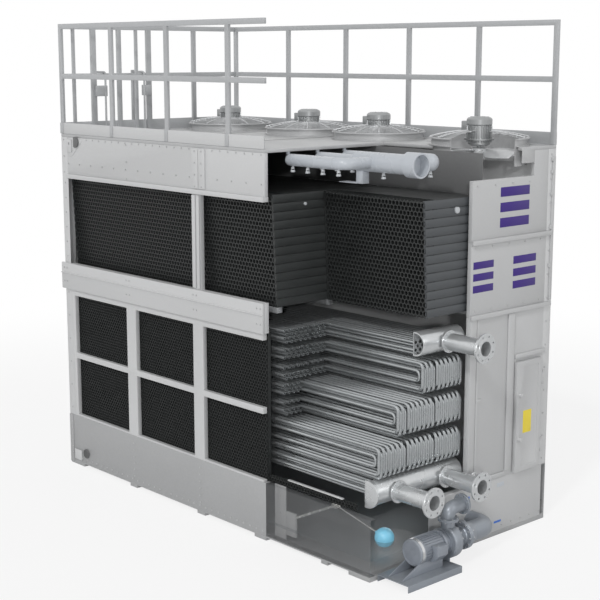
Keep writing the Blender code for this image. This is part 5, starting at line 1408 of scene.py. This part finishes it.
@dataclass
class SprayPipes:
    """Spray branches with their nozzles, the cross pipe, the main and its open socket."""

    height: float = 3.40
    branch_radius: float = 0.053
    branch_y: Point = (-0.87, -0.52, -0.19)
    branch_end: Point = (1.51, 1.72, 1.80)
    start_x: float = 0.90
    dome: float = 0.055
    cross_x: float = 1.62
    cross_radius: float = 0.0515
    main_x: float = 1.42
    main_radius: float = 0.085
    stub_x: Point = (1.70, 1.97, 2.025)
    stub_radius: float = 0.075
    socket_x: Span = (2.03, 2.16)
    socket_radius: float = 0.106
    socket_bore: float = 0.09
    bore_x: float = 2.065
    nozzle_x: Point = (0.977, 1.167, 1.357)
    extra_nozzles: Tuple[Point, ...] = ((1.547, -0.87, 0.053), (1.73, -0.52, 0.085), (1.96, -0.19, 0.075))
    elbow: float = 0.11
    clamp_x: Span = (1.44, 1.52)
    clamp_low: float = 3.21
    nozzle_low: float = 3.297
    hanger_x: Span = (0.905, 0.925)
    hanger_half: float = 0.015
    hanger_top: float = 3.4697

    def build(self, dresser: Dresser) -> None:
        """Make the pipes and their nozzles."""
        z = self.height
        parts = [self.main(), self.stub()]
        start, end = self.hanger_x
        half = self.hanger_half
        for y, reach in zip(self.branch_y, self.branch_end):
            parts.append(self.branch(y, reach))
            parts.append(
                Bench.block((start, y - half, z + self.branch_radius * 0.8), (end, y + half, self.hanger_top))
            )
        first, middle, last = self.branch_y
        x = self.cross_x
        corner = ((x - self.elbow - 0.02, first, z), (x, first, z), (x, last, z))
        parts.append(Bench.pipe(corner, self.cross_radius, 28, self.elbow))
        low = self.clamp_low
        start, end = self.clamp_x
        under = z - self.main_radius + 0.01
        parts.append(Bench.block((start, middle - 0.04, low), (end, middle + 0.04, under), 0.004))
        reach = (start + 0.01, middle + 0.05, low + 0.006)
        parts.append(Bench.block((start - 0.20, middle - 0.05, low), reach))
        dresser.mount("spray_pipe_set", parts, Finishes.PVC, "spray_pipes")
        spots = [(x, y, self.branch_radius) for y in self.branch_y for x in self.nozzle_x]
        turns = [Matrix.Translation((x, y, z - radius)) for x, y, radius in (*spots, *self.extra_nozzles)]
        dresser.mount("spray_nozzles", Bench.copies(self.nozzle(), turns), Finishes.NOZZLE)

    def branch(self, y: float, end: float) -> Thing:
        """A branch pipe with a domed end."""
        radius = self.branch_radius
        profile = [(0.0, self.start_x)]
        for step in range(1, 7):
            angle = math.pi / 2 * step / 6
            profile.append((radius * math.sin(angle), self.start_x + self.dome * (1 - math.cos(angle))))
        return Bench.turned([*profile, (radius, end), (0.0, end)], (0.0, y, self.height), ALONG, 28)

    def main(self) -> Thing:
        """The thick main pipe with the socket at its open end."""
        radius = self.main_radius
        socket = self.socket_radius
        bore = self.socket_bore
        start = self.main_x
        low, high = self.socket_x
        profile = (
            (0.0, start), (radius - 0.004, start), (radius, start + 0.004), (radius, low),
            (socket - 0.003, low), (socket, low + 0.003), (socket, high - 0.003), (socket - 0.003, high),
            (bore, high), (bore, self.bore_x), (0.0, self.bore_x),
        )
        return Bench.turned(profile, (0.0, self.branch_y[1], self.height), ALONG, 40)

    def stub(self) -> Thing:
        """The thicker end of the last branch with its dome."""
        start, shoulder, tip = self.stub_x
        radius = self.stub_radius
        profile = [(0.0, start), (radius, start), (radius, shoulder)]
        for step in range(1, 6):
            angle = math.pi / 2 * step / 6
            profile.append((radius * math.cos(angle), shoulder + (tip - shoulder) * math.sin(angle)))
        return Bench.turned([*profile, (0.0, tip)], (0.0, self.branch_y[2], self.height), ALONG, 36)

    def nozzle(self) -> Thing:
        """One spray nozzle under a pipe: bright cone, waist and spray cup."""
        low = self.nozzle_low - self.height + self.branch_radius
        neck = (
            (0.0, 0.008), (0.009, 0.008), (0.012, -0.004), (0.016, -0.016), (0.017, -0.022), (0.010, -0.024),
            (0.0, -0.024),
        )
        cup = (
            (0.0, low + 0.018), (0.017, low + 0.018), (0.021, low + 0.006), (0.022, low), (0.017, low),
            (0.016, low + 0.004), (0.0, low + 0.004),
        )
        parts = [Bench.turned(profile, (0, 0, 0), UPWARD, 14) for profile in (neck, cup)]
        for side in (-1, 1):
            parts.append(Bench.bar((0.0, side * 0.013, -0.020), (0.0, side * 0.016, low + 0.016), 0.003, 8))
        return Bench.join(parts)


@dataclass
class Basin:
    """Water basin: sheet walls, the clear corner, the still water and what stands inside."""

    edge: float = 0.002
    water_level: float = 0.175
    water_thickness: float = 0.002
    margin: float = 0.012
    post_x: Span = (0.996, 1.144)
    post_z: Span = (0.06, 0.54)
    post_front: float = -1.1047
    cover: float = 0.003
    rivets_z: Span = (0.14, 0.44)
    case_x: float = 1.27
    case_z: Span = (0.10, 0.32)
    rail_x: Span = (1.16, 1.85)
    rail_y: Span = (-1.10, -1.075)
    rail_z: float = 0.6003

    def build(self, dresser: Dresser) -> None:
        """Make the basin."""
        sheets = ("basin_floor", "basin_front_panel", "basin_back_panel", "basin_left_panel")
        dresser.skin(sheets, Finishes.BASIN, self.edge)
        # The end panel takes the darker copy of the panel coat, which is painted shade
        dresser.skin(("basin_end_panel",), Finishes.END_PANEL, self.edge)
        dresser.skin(("basin_front_window",), Finishes.CLEAR, self.edge / 2)
        dresser.skin(("basin_end_window",), Finishes.CLEAR_END, self.edge / 2)
        self.water(dresser)
        self.inside(dresser)

    def water(self, dresser: Dresser) -> None:
        """The still surface of the water, just clear of the walls."""
        low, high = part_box("basin_floor")
        margin = self.margin
        surface = Bench.block(
            (low.x + margin, low.y + margin, self.water_level - self.water_thickness),
            (high.x - margin, high.y - margin, self.water_level), 0.0,
        )
        Bench.edit_faces(
            surface, lambda centre, normal: normal.z > 0.9, lambda: bpy.ops.mesh.subdivide(number_cuts=12)
        )
        dresser.mount("basin_water", surface, Finishes.WATER)

    def inside(self, dresser: Dresser) -> None:
        """The pale cover on the inner post, its rivets, the small case and the tray's edge."""
        low, high = self.post_x
        front = self.post_front - GAP
        face = front - self.cover
        parts = [
            Bench.block((low, face, self.post_z[0]), (high, front, self.post_z[1]), 0.001),
            Bench.block(
                (high + GAP, face, self.case_z[0]), (self.case_x, front + 0.02, self.case_z[1]), 0.004
            ),
            Bench.block(
                (self.rail_x[0], self.rail_y[0], self.rail_z + GAP),
                (self.rail_x[1], self.rail_y[1], self.rail_z + 0.012),
            ),
        ]
        dresser.mount("basin_fittings", parts, Finishes.PANEL)
        start, end = (((low + high) / 2, face, z) for z in self.rivets_z)
        row = BoltRow(start, end, 3, (0, -1, 0))
        dresser.mount("basin_rivets", Bench.copies(Bolt().model(), row.places()), Finishes.BOLT)


@dataclass
class EndWall:
    """Walls and posts, the doorway's frame with its door, and what stands behind them."""

    edge: float = 0.0025
    door_edge: float = 0.003

    def build(self, dresser: Dresser) -> None:
        """Make the walls."""
        ends = ("end_panel_lower", "end_panel_middle", "end_panel_top", "door_frame")
        closed = ("back_panel_lower", "back_panel_upper", "left_panel_lower", "left_panel_upper")
        posts = ("post_front_left", "post_back_left", "post_back_right")
        # The end walls, door frame and door take the darker copy of the panel coat, which is painted shade
        dresser.skin(ends, Finishes.END_PANEL, self.edge)
        dresser.skin((*closed, *posts), Finishes.PANEL, self.edge)
        # The plenum wall takes the near-black sheet, which paints the shade inside the tower
        dresser.skin(("plenum_wall",), Finishes.INNER_SHEET, self.edge)
        dresser.skin(("fill_bearers",), Finishes.GALVANISED, self.edge)
        dresser.skin(("access_door",), Finishes.END_PANEL, self.door_edge, "door")


@dataclass
class PumpSet:
    """Spray pump on its base: motor, casing and suction pipe."""

    x: float = 2.43
    axis_z: float = 0.235
    foot: float = 0.0603
    motor_y: Span = (-0.86, -0.53)
    motor_radius: float = 0.118
    fins: int = 30
    fin_depth: float = 0.012
    slots: int = 20
    neck_radius: float = 0.10
    neck_end: float = -0.4603
    gusset_x: float = 0.075
    gusset_half: float = 0.006
    gusset: Tuple[Span, ...] = ((-1.06, 0.0), (-0.56, 0.0), (-0.56, 0.10), (-0.84, 0.10))
    box_y: Span = (-0.72, -0.59)
    box: Tuple[Span, ...] = ((0.06, 0.055), (0.165, 0.055), (0.165, -0.03), (0.11, -0.09), (0.06, -0.09))
    volute_y: Span = (-0.46, -0.36)
    volute_radius: Span = (0.135, 0.165)
    cover_radius: float = 0.12
    cover_end: float = -0.345
    eye_radius: float = 0.075
    eye_flange: float = 0.125
    eye_y: Span = (-0.25, -0.228)
    stand_half: float = 0.05
    stand_y: Span = (-0.445, -0.43)
    discharge_radius: float = 0.06
    discharge_y: float = -0.41
    discharge_start: float = 0.35
    discharge_flange: float = 0.09
    discharge_z: Span = (0.41, 0.434)
    elbow_z: float = 0.515
    elbow_bend: float = 0.075
    mouth_y: Span = (-0.244, -0.22)
    suction_start: float = -0.2277
    suction_collar: float = -0.206
    reducer: Point = (0.113, 0.088, -0.13)
    suction_turn: float = 0.10
    wall_x: float = 2.2453

    def build(self, dresser: Dresser) -> None:
        """Make the pump set."""
        dresser.skin(("pump_base",), Finishes.CASTING, 0.002)
        dresser.mount("pump_motor_set", self.motor(), Finishes.MOTOR, "pump_motor")
        dresser.mount("pump_motor_band", self.band(), Finishes.MACHINED)
        dresser.mount("pump_casing_set", self.casing(), Finishes.CASTING, "pump_casing")
        dresser.mount("suction_pipe_set", self.suction(), Finishes.CASTING, "suction_pipe")
        dresser.mount("pump_bolts", self.bolts(), Finishes.MACHINED, smooth=BOLT_SMOOTH)

    def along_y(self, profile: Profile, steps: int = 40) -> Thing:
        """A piece turned about the pump's axis, its profile counted in Y."""
        return Bench.turned(profile, (self.x, 0.0, self.axis_z), ACROSS, steps)

    def round(self, model: Thing, count: int) -> Thing:
        """Copies of a piece round the pump's axis."""
        return Bench.around(model, count, (self.x, 0.0, self.axis_z), "Y")

    def motor(self) -> List[Thing]:
        """The motor: ribbed barrel, fan cowl, neck, gussets and the wedge-shaped terminal box."""
        start, end = self.motor_y
        outer = self.motor_radius
        inner = outer - self.fin_depth
        neck = self.neck_radius
        stop = self.neck_end
        profile = (
            (0.0, start + 0.006), (outer - 0.022, start + 0.006), (outer - 0.020, start),
            (outer - 0.010, start + 0.002), (outer - 0.003, start + 0.012), (outer - 0.003, start + 0.062),
            (inner, start + 0.066), (inner, end - 0.030), (outer, end - 0.028), (outer, end - 0.006),
            (outer - 0.006, end), (neck, end), (neck - 0.014, end + 0.012), (neck - 0.014, stop - 0.016),
            (neck, stop - 0.014), (neck, stop), (0.0, stop),
        )
        fin = Bench.block((-0.0018, start + 0.064, inner - 0.004), (0.0018, end - 0.028, outer), 0.001)
        slot = Bench.block((-0.002, start + 0.003, 0.025), (0.002, start + 0.009, 0.082), 0.0005)
        parts = [self.along_y(profile), self.round(fin, self.fins), self.round(slot, self.slots)]
        for side in (-1, 1):
            x = self.x + side * self.gusset_x - self.gusset_half
            outline = [(x, y, self.foot + z) for y, z in self.gusset]
            parts.append(Bench.sheet(outline, (2 * self.gusset_half, 0.0, 0.0), 0.002))
        low, high = self.box_y
        outline = [(self.x + dx, low, self.axis_z + dz) for dx, dz in self.box]
        return [*parts, Bench.sheet(outline, (0.0, high - low, 0.0), 0.004)]

    def band(self) -> Thing:
        """The bright band round the motor's fan cowl."""
        start = self.motor_y[0] + 0.014
        end = start + 0.030
        radius = self.motor_radius
        inner = radius - 0.002
        return self.along_y(((inner, start), (radius, start), (radius, end), (inner, end)))

    def casing(self) -> List[Thing]:
        """The casing: growing volute, covers, eye with its flange, discharge elbow and stand."""
        start, end = self.volute_y
        small, large = self.volute_radius
        outline = []
        for step in range(41):
            angle = math.pi / 2 - math.tau * 0.80 * step / 40
            radius = small + (large - small) * step / 40
            outline.append((self.x + radius * math.cos(angle), start, self.axis_z + radius * math.sin(angle)))
        volute = Bench.round_edges(Bench.sheet(outline, (0.0, end - start, 0.0)), 0.028, 4)
        neck, face = self.eye_y
        cover = self.cover_radius
        stop = self.cover_end
        eye = self.eye_radius
        rim = self.eye_flange
        profile = (
            (0.0, end - 0.02), (cover, end - 0.02), (cover, stop - 0.004), (cover - 0.004, stop),
            (eye + 0.012, stop + 0.004), (eye, stop + 0.03), (eye, neck - 0.008), (eye + 0.008, neck),
            (rim - 0.002, neck), (rim, neck + 0.002), (rim, face - 0.002), (rim - 0.002, face), (0.0, face),
        )
        path = (
            (self.x, self.discharge_y, self.discharge_start),
            (self.x, self.discharge_y, self.elbow_z),
            (self.x, self.mouth_y[1], self.elbow_z),
        )
        near, far = self.stand_y
        half = self.stand_half
        return [
            volute,
            self.along_y(profile, 48),
            Bench.pipe(path, self.discharge_radius, 28, self.elbow_bend),
            self.plate((self.x, self.discharge_y, self.discharge_z[0]), UPWARD, self.discharge_z),
            self.plate((self.x, self.mouth_y[0], self.elbow_z), ACROSS, self.mouth_y),
            Bench.block((self.x - half, near, self.foot), (self.x + half, far, self.axis_z - cover), 0.003),
        ]

    def plate(self, spot: Point, axis: Point, reach: Span) -> Thing:
        """A round flange of the discharge pipe, as thick as its reach along the axis."""
        outer = self.discharge_flange
        inner = self.discharge_radius - 0.006
        depth = reach[1] - reach[0]
        profile = (
            (inner, 0.0), (outer - 0.002, 0.0), (outer, 0.002), (outer, depth - 0.002),
            (outer - 0.002, depth), (inner, depth),
        )
        return Bench.turned(profile, spot, axis, 36)

    def suction(self) -> List[Thing]:
        """The suction pipe: collar, reducer, pipe and the bend into the wall."""
        start = self.suction_start
        end = self.suction_collar
        rim = self.eye_flange
        wide, narrow, taper = self.reducer
        profile = (
            (0.0, start), (rim - 0.002, start), (rim, start + 0.002), (rim, end - 0.002), (rim - 0.002, end),
            (wide, end), (narrow, taper), (0.0, taper),
        )
        spots = ((self.x, taper - 0.02), (self.x, self.suction_turn), (self.wall_x, self.suction_turn))
        path = [(x, y, self.axis_z) for x, y in spots]
        return [self.along_y(profile, 44), Bench.pipe(path, narrow, 28, 0.10)]

    def bolts(self) -> List[Thing]:
        """The bright bolts of the suction flange, the casing and the discharge flanges."""
        stop = self.cover_end
        rows = (
            (self.eye_flange - 0.012, self.eye_y[0] - 0.012, self.suction_collar + 0.012, 12),
            (self.cover_radius - 0.012, stop, stop + 0.010, 14),
        )
        parts = []
        for radius, low, high, count in rows:
            rod = Bench.bar((0.0, low, radius), (0.0, high, radius), 0.0075, 6)
            parts.append(self.round(rod, count))
        ring = self.discharge_flange - 0.012
        low, high = self.discharge_z
        rod = Bench.bar((ring, 0.0, low - 0.008), (ring, 0.0, high + 0.010), 0.0065, 6)
        parts.append(Bench.around(rod, 8, (self.x, self.discharge_y, 0.0), "Z", 0.5))
        low, high = self.mouth_y
        rod = Bench.bar((ring, low - 0.008, 0.0), (ring, high + 0.008, 0.0), 0.0065, 6)
        return [*parts, Bench.around(rod, 8, (self.x, 0.0, self.elbow_z), "Y", 0.5)]


@dataclass
class FloatValve:
    """Make-up valve and its float ball."""

    centre: Point = (1.95, -0.6865, 0.193)
    radius: float = 0.086
    pivot: Point = (1.38, -0.6865, 0.32)
    rod: float = 0.006
    eye: float = 0.01
    eye_half: float = 0.0104
    seam: float = 0.0015
    steps: int = 24

    def build(self, dresser: Dresser) -> None:
        """Make the valve, the arm and the ball."""
        dresser.skin(("float_valve",), Finishes.BRASS, 0.001)
        x, y, z = self.pivot
        half = self.eye_half
        parts = [
            Finishes.FLOAT.dress(self.ball()),
            Finishes.BRASS.dress(Bench.pipe((self.pivot, self.centre), self.rod, 12)),
            Finishes.BRASS.dress(Bench.bar((x, y - half, z), (x, y + half, z), self.eye, 16, 0.001)),
        ]
        dresser.mount("float_ball_arm", parts, None, "float_arm", "float")

    def ball(self) -> Thing:
        """The moulded ball with its seam and its neck."""
        run = (Vector(self.centre) - Vector(self.pivot)).normalized()
        size = self.radius
        profile = [(0.0, -size)]
        for step in range(1, self.steps):
            angle = -math.pi / 2 + math.pi * step / self.steps
            radius = size * math.cos(angle)
            along = size * math.sin(angle)
            if step != self.steps // 2:
                profile.append((radius, along))
                continue
            proud = radius + self.seam
            profile += [(radius, along - 0.004), (proud, along - 0.002), (proud, along + 0.002)]
            profile.append((radius, along + 0.004))
        profile.append((0.0, size))
        neck = ((0.0, -size - 0.02), (0.012, -size - 0.02), (0.014, -size + 0.01), (0.0, -size + 0.01))
        ball = Bench.turned(profile, self.centre, run, 32)
        return Bench.join([ball, Bench.turned(neck, self.centre, run, 20)])


@dataclass
class Bolt:
    """One bolt head on its washer, standing on Z = 0 and looking along +Z."""

    head: float = 0.0062
    head_height: float = 0.005
    washer: float = 0.0095
    washer_height: float = 0.002
    sunk: float = 0.0002

    def model(self) -> Thing:
        """Model the bolt about the origin."""
        washer = self.disc(12, self.washer, 0.0, self.washer_height)
        head = self.disc(6, self.head, self.washer_height - self.sunk, self.head_height)
        Bench.edit_faces(
            head, lambda centre, normal: normal.z > 0.9, lambda: bpy.ops.mesh.inset(thickness=0.001)
        )
        return Bench.join([washer, head])

    @staticmethod
    def disc(sides: int, radius: float, low: float, height: float) -> Thing:
        """A flat disc with the given number of sides."""
        Bench.deselect()
        bpy.ops.mesh.primitive_cylinder_add(
            vertices=sides, radius=radius, depth=height, location=(0, 0, low + height / 2)
        )
        return Bench.settle()


@dataclass
class BoltRow:
    """A straight row of bolts on a flat face."""

    start: Point
    end: Point
    count: int
    facing: Point

    def places(self) -> List[Matrix]:
        """Where each bolt goes."""
        turn = Vector(self.facing).to_track_quat("Z", "Y").to_matrix().to_4x4()
        found = []
        for index in range(self.count):
            share = index / max(1, self.count - 1)
            found.append(Matrix.Translation(Vector(self.start).lerp(Vector(self.end), share)) @ turn)
        return found


@dataclass
class FrontTrim:
    """Raised strips, lifting plates and the strainer on the front, and the ribs of the pump end."""

    front: float = -1.165
    plate_front: float = -1.171
    end_x: float = 2.245
    strips_x: Tuple[Span, ...] = ((-0.05, 0.042), (0.048, 0.138))
    strips_z: Span = (3.10, 3.465)
    strip_depth: float = 0.014
    post_strips_x: Tuple[Span, ...] = ((-0.064, -0.016), (0.000, 0.042))
    post_clear: float = 0.012
    post_top: float = 3.04
    lift_x: Span = (-2.12, -2.04)
    lift_z: Span = (3.32, 3.45)
    lift_depth: float = 0.012
    knuckle: Point = (-1.965, -1.171, 3.425)
    knuckle_radius: float = 0.055
    lower_lift: Area = (-2.16, -2.03, 0.06, 0.17)
    strainer: Point = (-1.945, -1.165, 0.155)
    strainer_radius: float = 0.05
    mesh_pitch: float = 0.012
    ribs: Tuple[Tuple[Area, float], ...] = (
        ((0.03, 1.12, 2.695, 2.735), 0.022), ((0.03, 1.14, 2.045, 2.085), 0.022),
        ((0.55, 0.640, 0.600, 2.040), 0.012), ((0.66, 1.09, 1.615, 1.655), 0.014),
        ((0.125, 0.55, 0.560, 0.595), 0.012), ((1.115, 1.150, 2.10, 3.40), 0.014),
        ((0.125, 0.20, 1.30, 1.33), 0.012), ((0.125, 0.155, 0.60, 2.04), 0.010),
    )
    studs_z: Tuple[float, ...] = (2.40, 2.75, 3.05, 3.25, 3.36)
    stud_y: Span = (1.095, 1.112)
    stud_height: float = 0.035
    back_y: float = 1.165
    left_x: float = -2.245
    seams_x: Point = (-1.10, 0.0, 1.10)
    seams_y: Span = (-0.40, 0.38)
    seam_half: float = 0.025
    seam_depth: float = 0.006
    seam_z: Tuple[Span, ...] = ((0.575, 2.00), (2.18, 3.36))
    angle: float = 0.06
    angle_depth: float = 0.004
    angle_z: Span = (0.012, 0.535)

    def build(self, dresser: Dresser) -> None:
        """Make the trim."""
        post_z = (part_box("belt_beam")[1].z + self.post_clear, self.post_top)
        low_x, high_x, low_z, high_z = self.lower_lift
        plate = self.plate_front - GAP
        face = self.front - GAP
        strips = [(span, self.strips_z, plate, self.strip_depth, 0.004) for span in self.strips_x]
        strips += [(span, post_z, face, self.strip_depth, 0.003) for span in self.post_strips_x]
        parts = [self.raised(*strip) for strip in strips]
        parts.append(self.lift())
        parts.append(self.raised((low_x, high_x), (low_z, high_z), face, self.lift_depth, 0.004))
        dresser.mount("front_trim", parts, Finishes.PANEL)
        # The knuckle and strainer take the near-black sheet: painted shadow and painted shade
        dresser.mount("front_painted_shade_rounds", self.rounds(), Finishes.INNER_SHEET)
        studs = [((*self.stud_y, z, z + self.stud_height), 0.020) for z in self.studs_z]
        ribs = [
            Bench.block((self.end_x + GAP, low_y, low_z), (self.end_x + reach, high_y, high_z), 0.003)
            for (low_y, high_y, low_z, high_z), reach in (*self.ribs, *studs)
        ]
        # The ribs take the darker copy of the panel coat, which is painted shade
        dresser.mount("end_ribs", ribs, Finishes.END_PANEL)
        dresser.mount("panel_seams", self.seams(), Finishes.PANEL)
        dresser.mount("basin_corner_angles", self.angles(), Finishes.BASIN)

    def raised(self, span: Span, height: Span, face: float, depth: float, edge: float) -> Thing:
        """A piece that stands out from the front.

        Args:
            span: Its lowest and highest x.
            height: Its lowest and highest z.
            face: The y that it stands on.
            depth: How far it stands out.
            edge: Width of the rounding of its edges.

        Returns:
            The piece.
        """
        return Bench.block((span[0], face - depth, height[0]), (span[1], face, height[1]), edge)

    def seams(self) -> List[Thing]:
        """Cover strips over the joints of the closed back and far end."""
        half = self.seam_half
        depth = self.seam_depth
        made = []
        for low, high in self.seam_z:
            for x in self.seams_x:
                made.append(
                    Bench.block((x - half, self.back_y + GAP, low), (x + half, self.back_y + depth, high))
                )
            for y in self.seams_y:
                made.append(
                    Bench.block((self.left_x - depth, y - half, low), (self.left_x - GAP, y + half, high))
                )
        return made

    def angles(self) -> List[Thing]:
        """Corner angles of the basin's closed corners, each of two legs."""
        left = self.left_x - GAP
        low_z, high_z = self.angle_z
        made = []
        for side, y in ((-1, self.front), (1, self.back_y)):
            outer = y + side * (GAP + self.angle_depth)
            for inner, right in ((y + side * GAP, left + self.angle), (y - side * self.angle, left)):
                low_y, high_y = sorted((inner, outer))
                low = (left - self.angle_depth, low_y, low_z)
                made.append(Bench.block(low, (right, high_y, high_z), 0.001))
        return made

    def lift(self) -> Thing:
        """The upper lifting plate with its slot."""
        y = self.plate_front - GAP
        middle = sum(self.lift_x) / 2
        height = self.lift_z[1] - 0.045
        slot = Bench.bar((middle, y - 0.05, height), (middle, y + 0.01, height), 0.014, 16)
        return Bench.cut(self.raised(self.lift_x, self.lift_z, y, self.lift_depth, 0.003), slot)

    def rounds(self) -> List[Thing]:
        """The dark round parts, whose dark finish is painted shade: the lifting knuckle, dark for the shadow
        beside the lifting plate, and the strainer's disc and mesh, dark for the shade in its opening.
        """
        x, y, z = self.knuckle
        radius = self.knuckle_radius
        knuckle = Bench.bar((x, y - GAP, z), (x, y - 0.02, z), radius, 28, 0.004)
        Bench.trim(knuckle, (x - radius * 0.4, 0, 0), (-1, 0, 0), fill=True)
        x, y, z = self.strainer
        radius = self.strainer_radius
        parts = [knuckle, Bench.bar((x, y - GAP, z), (x, y - 0.012, z), radius, 28, 0.003)]
        for step in range(-3, 4):
            wire = x + step * self.mesh_pitch
            reach = math.sqrt(radius ** 2 - (step * self.mesh_pitch) ** 2) - 0.004
            low = (wire - 0.0015, y - 0.015, z - reach)
            parts.append(Bench.block(low, (wire + 0.0015, y - 0.0115, z + reach), 0.0))
        return parts


@dataclass
class Fasteners:
    """The bolt rows of the panels, the beam, the deck edge and the posts."""

    front: float = -1.165
    back: float = 1.165
    left: float = -2.245
    right: float = 2.245
    strip: float = -1.1853
    belt: float = -1.193
    levels: Area = (0.62, 1.98, 2.16, 3.38)

    def front_rows(self) -> List[BoltRow]:
        """The rows of the front: three level ones, then those that stand."""
        spots = [((-2.12, 3.20), (0.90, 3.20), 16), ((-2.12, 3.455), (0.90, 3.455), 28)]
        spots.append(((-2.12, 0.085), (0.90, 0.085), 34))
        spots += [((x, 0.12), (x, 0.46), 6) for x in (-2.20, -1.08, -0.011)]
        raised = [((x, 3.12), (x, 3.44), 4) for x in (-0.004, 0.093)]
        others = [((x, 3.11), (x, 3.44), 3) for x in (-2.20, -1.10)]
        others += [((-2.19, low), (-2.19, high), 6) for low, high in ((0.62, 1.86), (2.24, 3.0))]
        rows = []
        for y, group in ((self.front, spots), (self.strip, raised), (self.front, others)):
            for (x, z), (far, top), count in group:
                rows.append(BoltRow((x, y, z), (far, y, top), count, (0, -1, 0)))
        return rows

    def end_rows(self) -> List[BoltRow]:
        """The rows of the pump end."""
        spots = (
            ((0.09, 2.12), (0.98, 2.12), 5), ((0.09, 2.67), (0.98, 2.67), 5), ((0.09, 3.20), (0.80, 3.20), 4),
            ((1.10, 0.60), (1.10, 3.42), 14), ((-0.40, 0.085), (1.08, 0.085), 12),
        )
        x = self.right
        return [BoltRow((x, *start), (x, *end), count, ALONG) for start, end, count in spots]

    def build(self, dresser: Dresser) -> None:
        """Make the bolts of each face."""
        belt = []
        for x in (-2.22, -1.11, -0.04, 0.86):
            for z in (1.98, 2.12):
                belt.append(BoltRow((x, self.belt, z), (x + 0.05, self.belt, z), 2, (0, -1, 0)))
        y = self.back
        x = self.left
        rows = {
            "front": self.front_rows(),
            "belt": belt,
            "back": [BoltRow((-2.05, y, z), (2.05, y, z), 20, ACROSS) for z in self.levels],
            "far": [BoltRow((x, -0.98, z), (x, 0.98, z), 10, (-1, 0, 0)) for z in self.levels],
            "end": self.end_rows(),
        }
        for name, group in rows.items():
            places = [place for row in group for place in row.places()]
            bolts = Bench.copies(Bolt().model(), places)
            dresser.mount(f"bolts_{name}", bolts, Finishes.BOLT, smooth=BOLT_SMOOTH)


@dataclass
class Markings:
    """Plain coloured marks in the places of signs, without any lettering, and the gauge.

    An area is given by its lowest and highest y, then its lowest and highest z.
    """

    face_x: float = 2.245
    raise_by: float = 0.0012
    fields: Tuple[Area, ...] = ((0.40, 0.80, 2.82, 3.17), (0.06, 0.33, 2.28, 2.55), (0.60, 0.92, 2.26, 2.55))
    bars: int = 3
    bar_share: float = 0.62
    arrows: Tuple[Area, ...] = ((0.065, 0.085, 0.36, 0.46), (0.43, 0.53, 0.12, 0.14))
    label: Area = (0.46, 0.56, 0.455, 0.495)
    plate: Area = (0.71, 0.885, 0.91, 1.12)
    field_depth: float = 0.005
    gauge: Point = (2.253, 0.075, 0.66)

    def build(self, dresser: Dresser) -> None:
        """Make the marks."""
        areas = []
        for low_y, high_y, low_z, high_z in self.fields:
            pitch = (high_z - low_z) / (self.bars - 1 + self.bar_share)
            for index in range(self.bars):
                base = low_z + index * pitch
                areas.append((low_y, high_y, base, base + pitch * self.bar_share))
        marks = (
            ("violet_bars", areas, Finishes.MARK_DARK),
            ("blue_arrows", self.arrows, Finishes.MARK_BLUE),
            ("pale_label", (self.label,), Finishes.PVC),
        )
        for name, spots, finish in marks:
            span = (self.face_x + GAP, self.face_x + self.raise_by)
            dresser.mount(name, [self.patch(area, span, 0.0004) for area in spots], finish)
        self.door_plate(dresser)
        profile = (
            (0.0, GAP), (0.012, GAP), (0.012, 0.02), (0.032, 0.022), (0.034, 0.026), (0.034, 0.040),
            (0.030, 0.042), (0.029, 0.038), (0.0, 0.038),
        )
        dresser.mount("gauge", Bench.turned(profile, self.gauge, ALONG, 28), Finishes.MACHINED)

    def door_plate(self, dresser: Dresser) -> None:
        """The bare yellow plate on the door's pressed field."""
        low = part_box("access_door")[0]
        leaf = dresser.frame["nodes"]["access_door"].data
        face = max(point.co.x for point in leaf.vertices if abs(point.co.y - low.y) < 0.001)
        start = face - self.field_depth + GAP
        plate = self.patch(self.plate, (start, start + 0.001), 0.0003)
        dresser.mount("yellow_plate", plate, Finishes.MARK_YELLOW, body="door")

    @staticmethod
    def patch(area: Area, span: Span, edge: float) -> Thing:
        """A thin patch on an end face, between two places along X."""
        low_y, high_y, low_z, high_z = area
        return Bench.block((span[0], low_y, low_z), (span[1], high_y, high_z), edge)


def main() -> None:
    """Build the tower's looks piece by piece and log how many pieces were made."""
    logging.basicConfig(level=logging.INFO, format="%(message)s")
    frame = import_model()
    dresser = Dresser(frame)
    Studio().build()
    headers = (
        Header("header_upper", 1.897, (-0.50, 0.02), (-0.20,), (1.8395, 1.907), (1.7632, 2.002), True),
        Header("header_lower", 0.70, (-1.04, 0.02), (-0.80, -0.20), (0.7075, 0.775), (0.5403, 0.8029)),
    )
    fans = [Fan(index + 1, centre_x) for index, centre_x in enumerate((-1.755, -0.495, 0.495, 1.755))]
    groups = (
        InletSide(), FillPack(), Coil(), *headers, *fans, Deck(), Ladder(), SprayPipes(), Basin(),
        EndWall(), PumpSet(), FloatValve(), FrontTrim(), Fasteners(), Markings(),
    )
    for group in groups:
        group.build(dresser)
    Bench.deselect()
    LOG.info("%d pieces made", dresser.count)


if __name__ == "__main__":
    main()
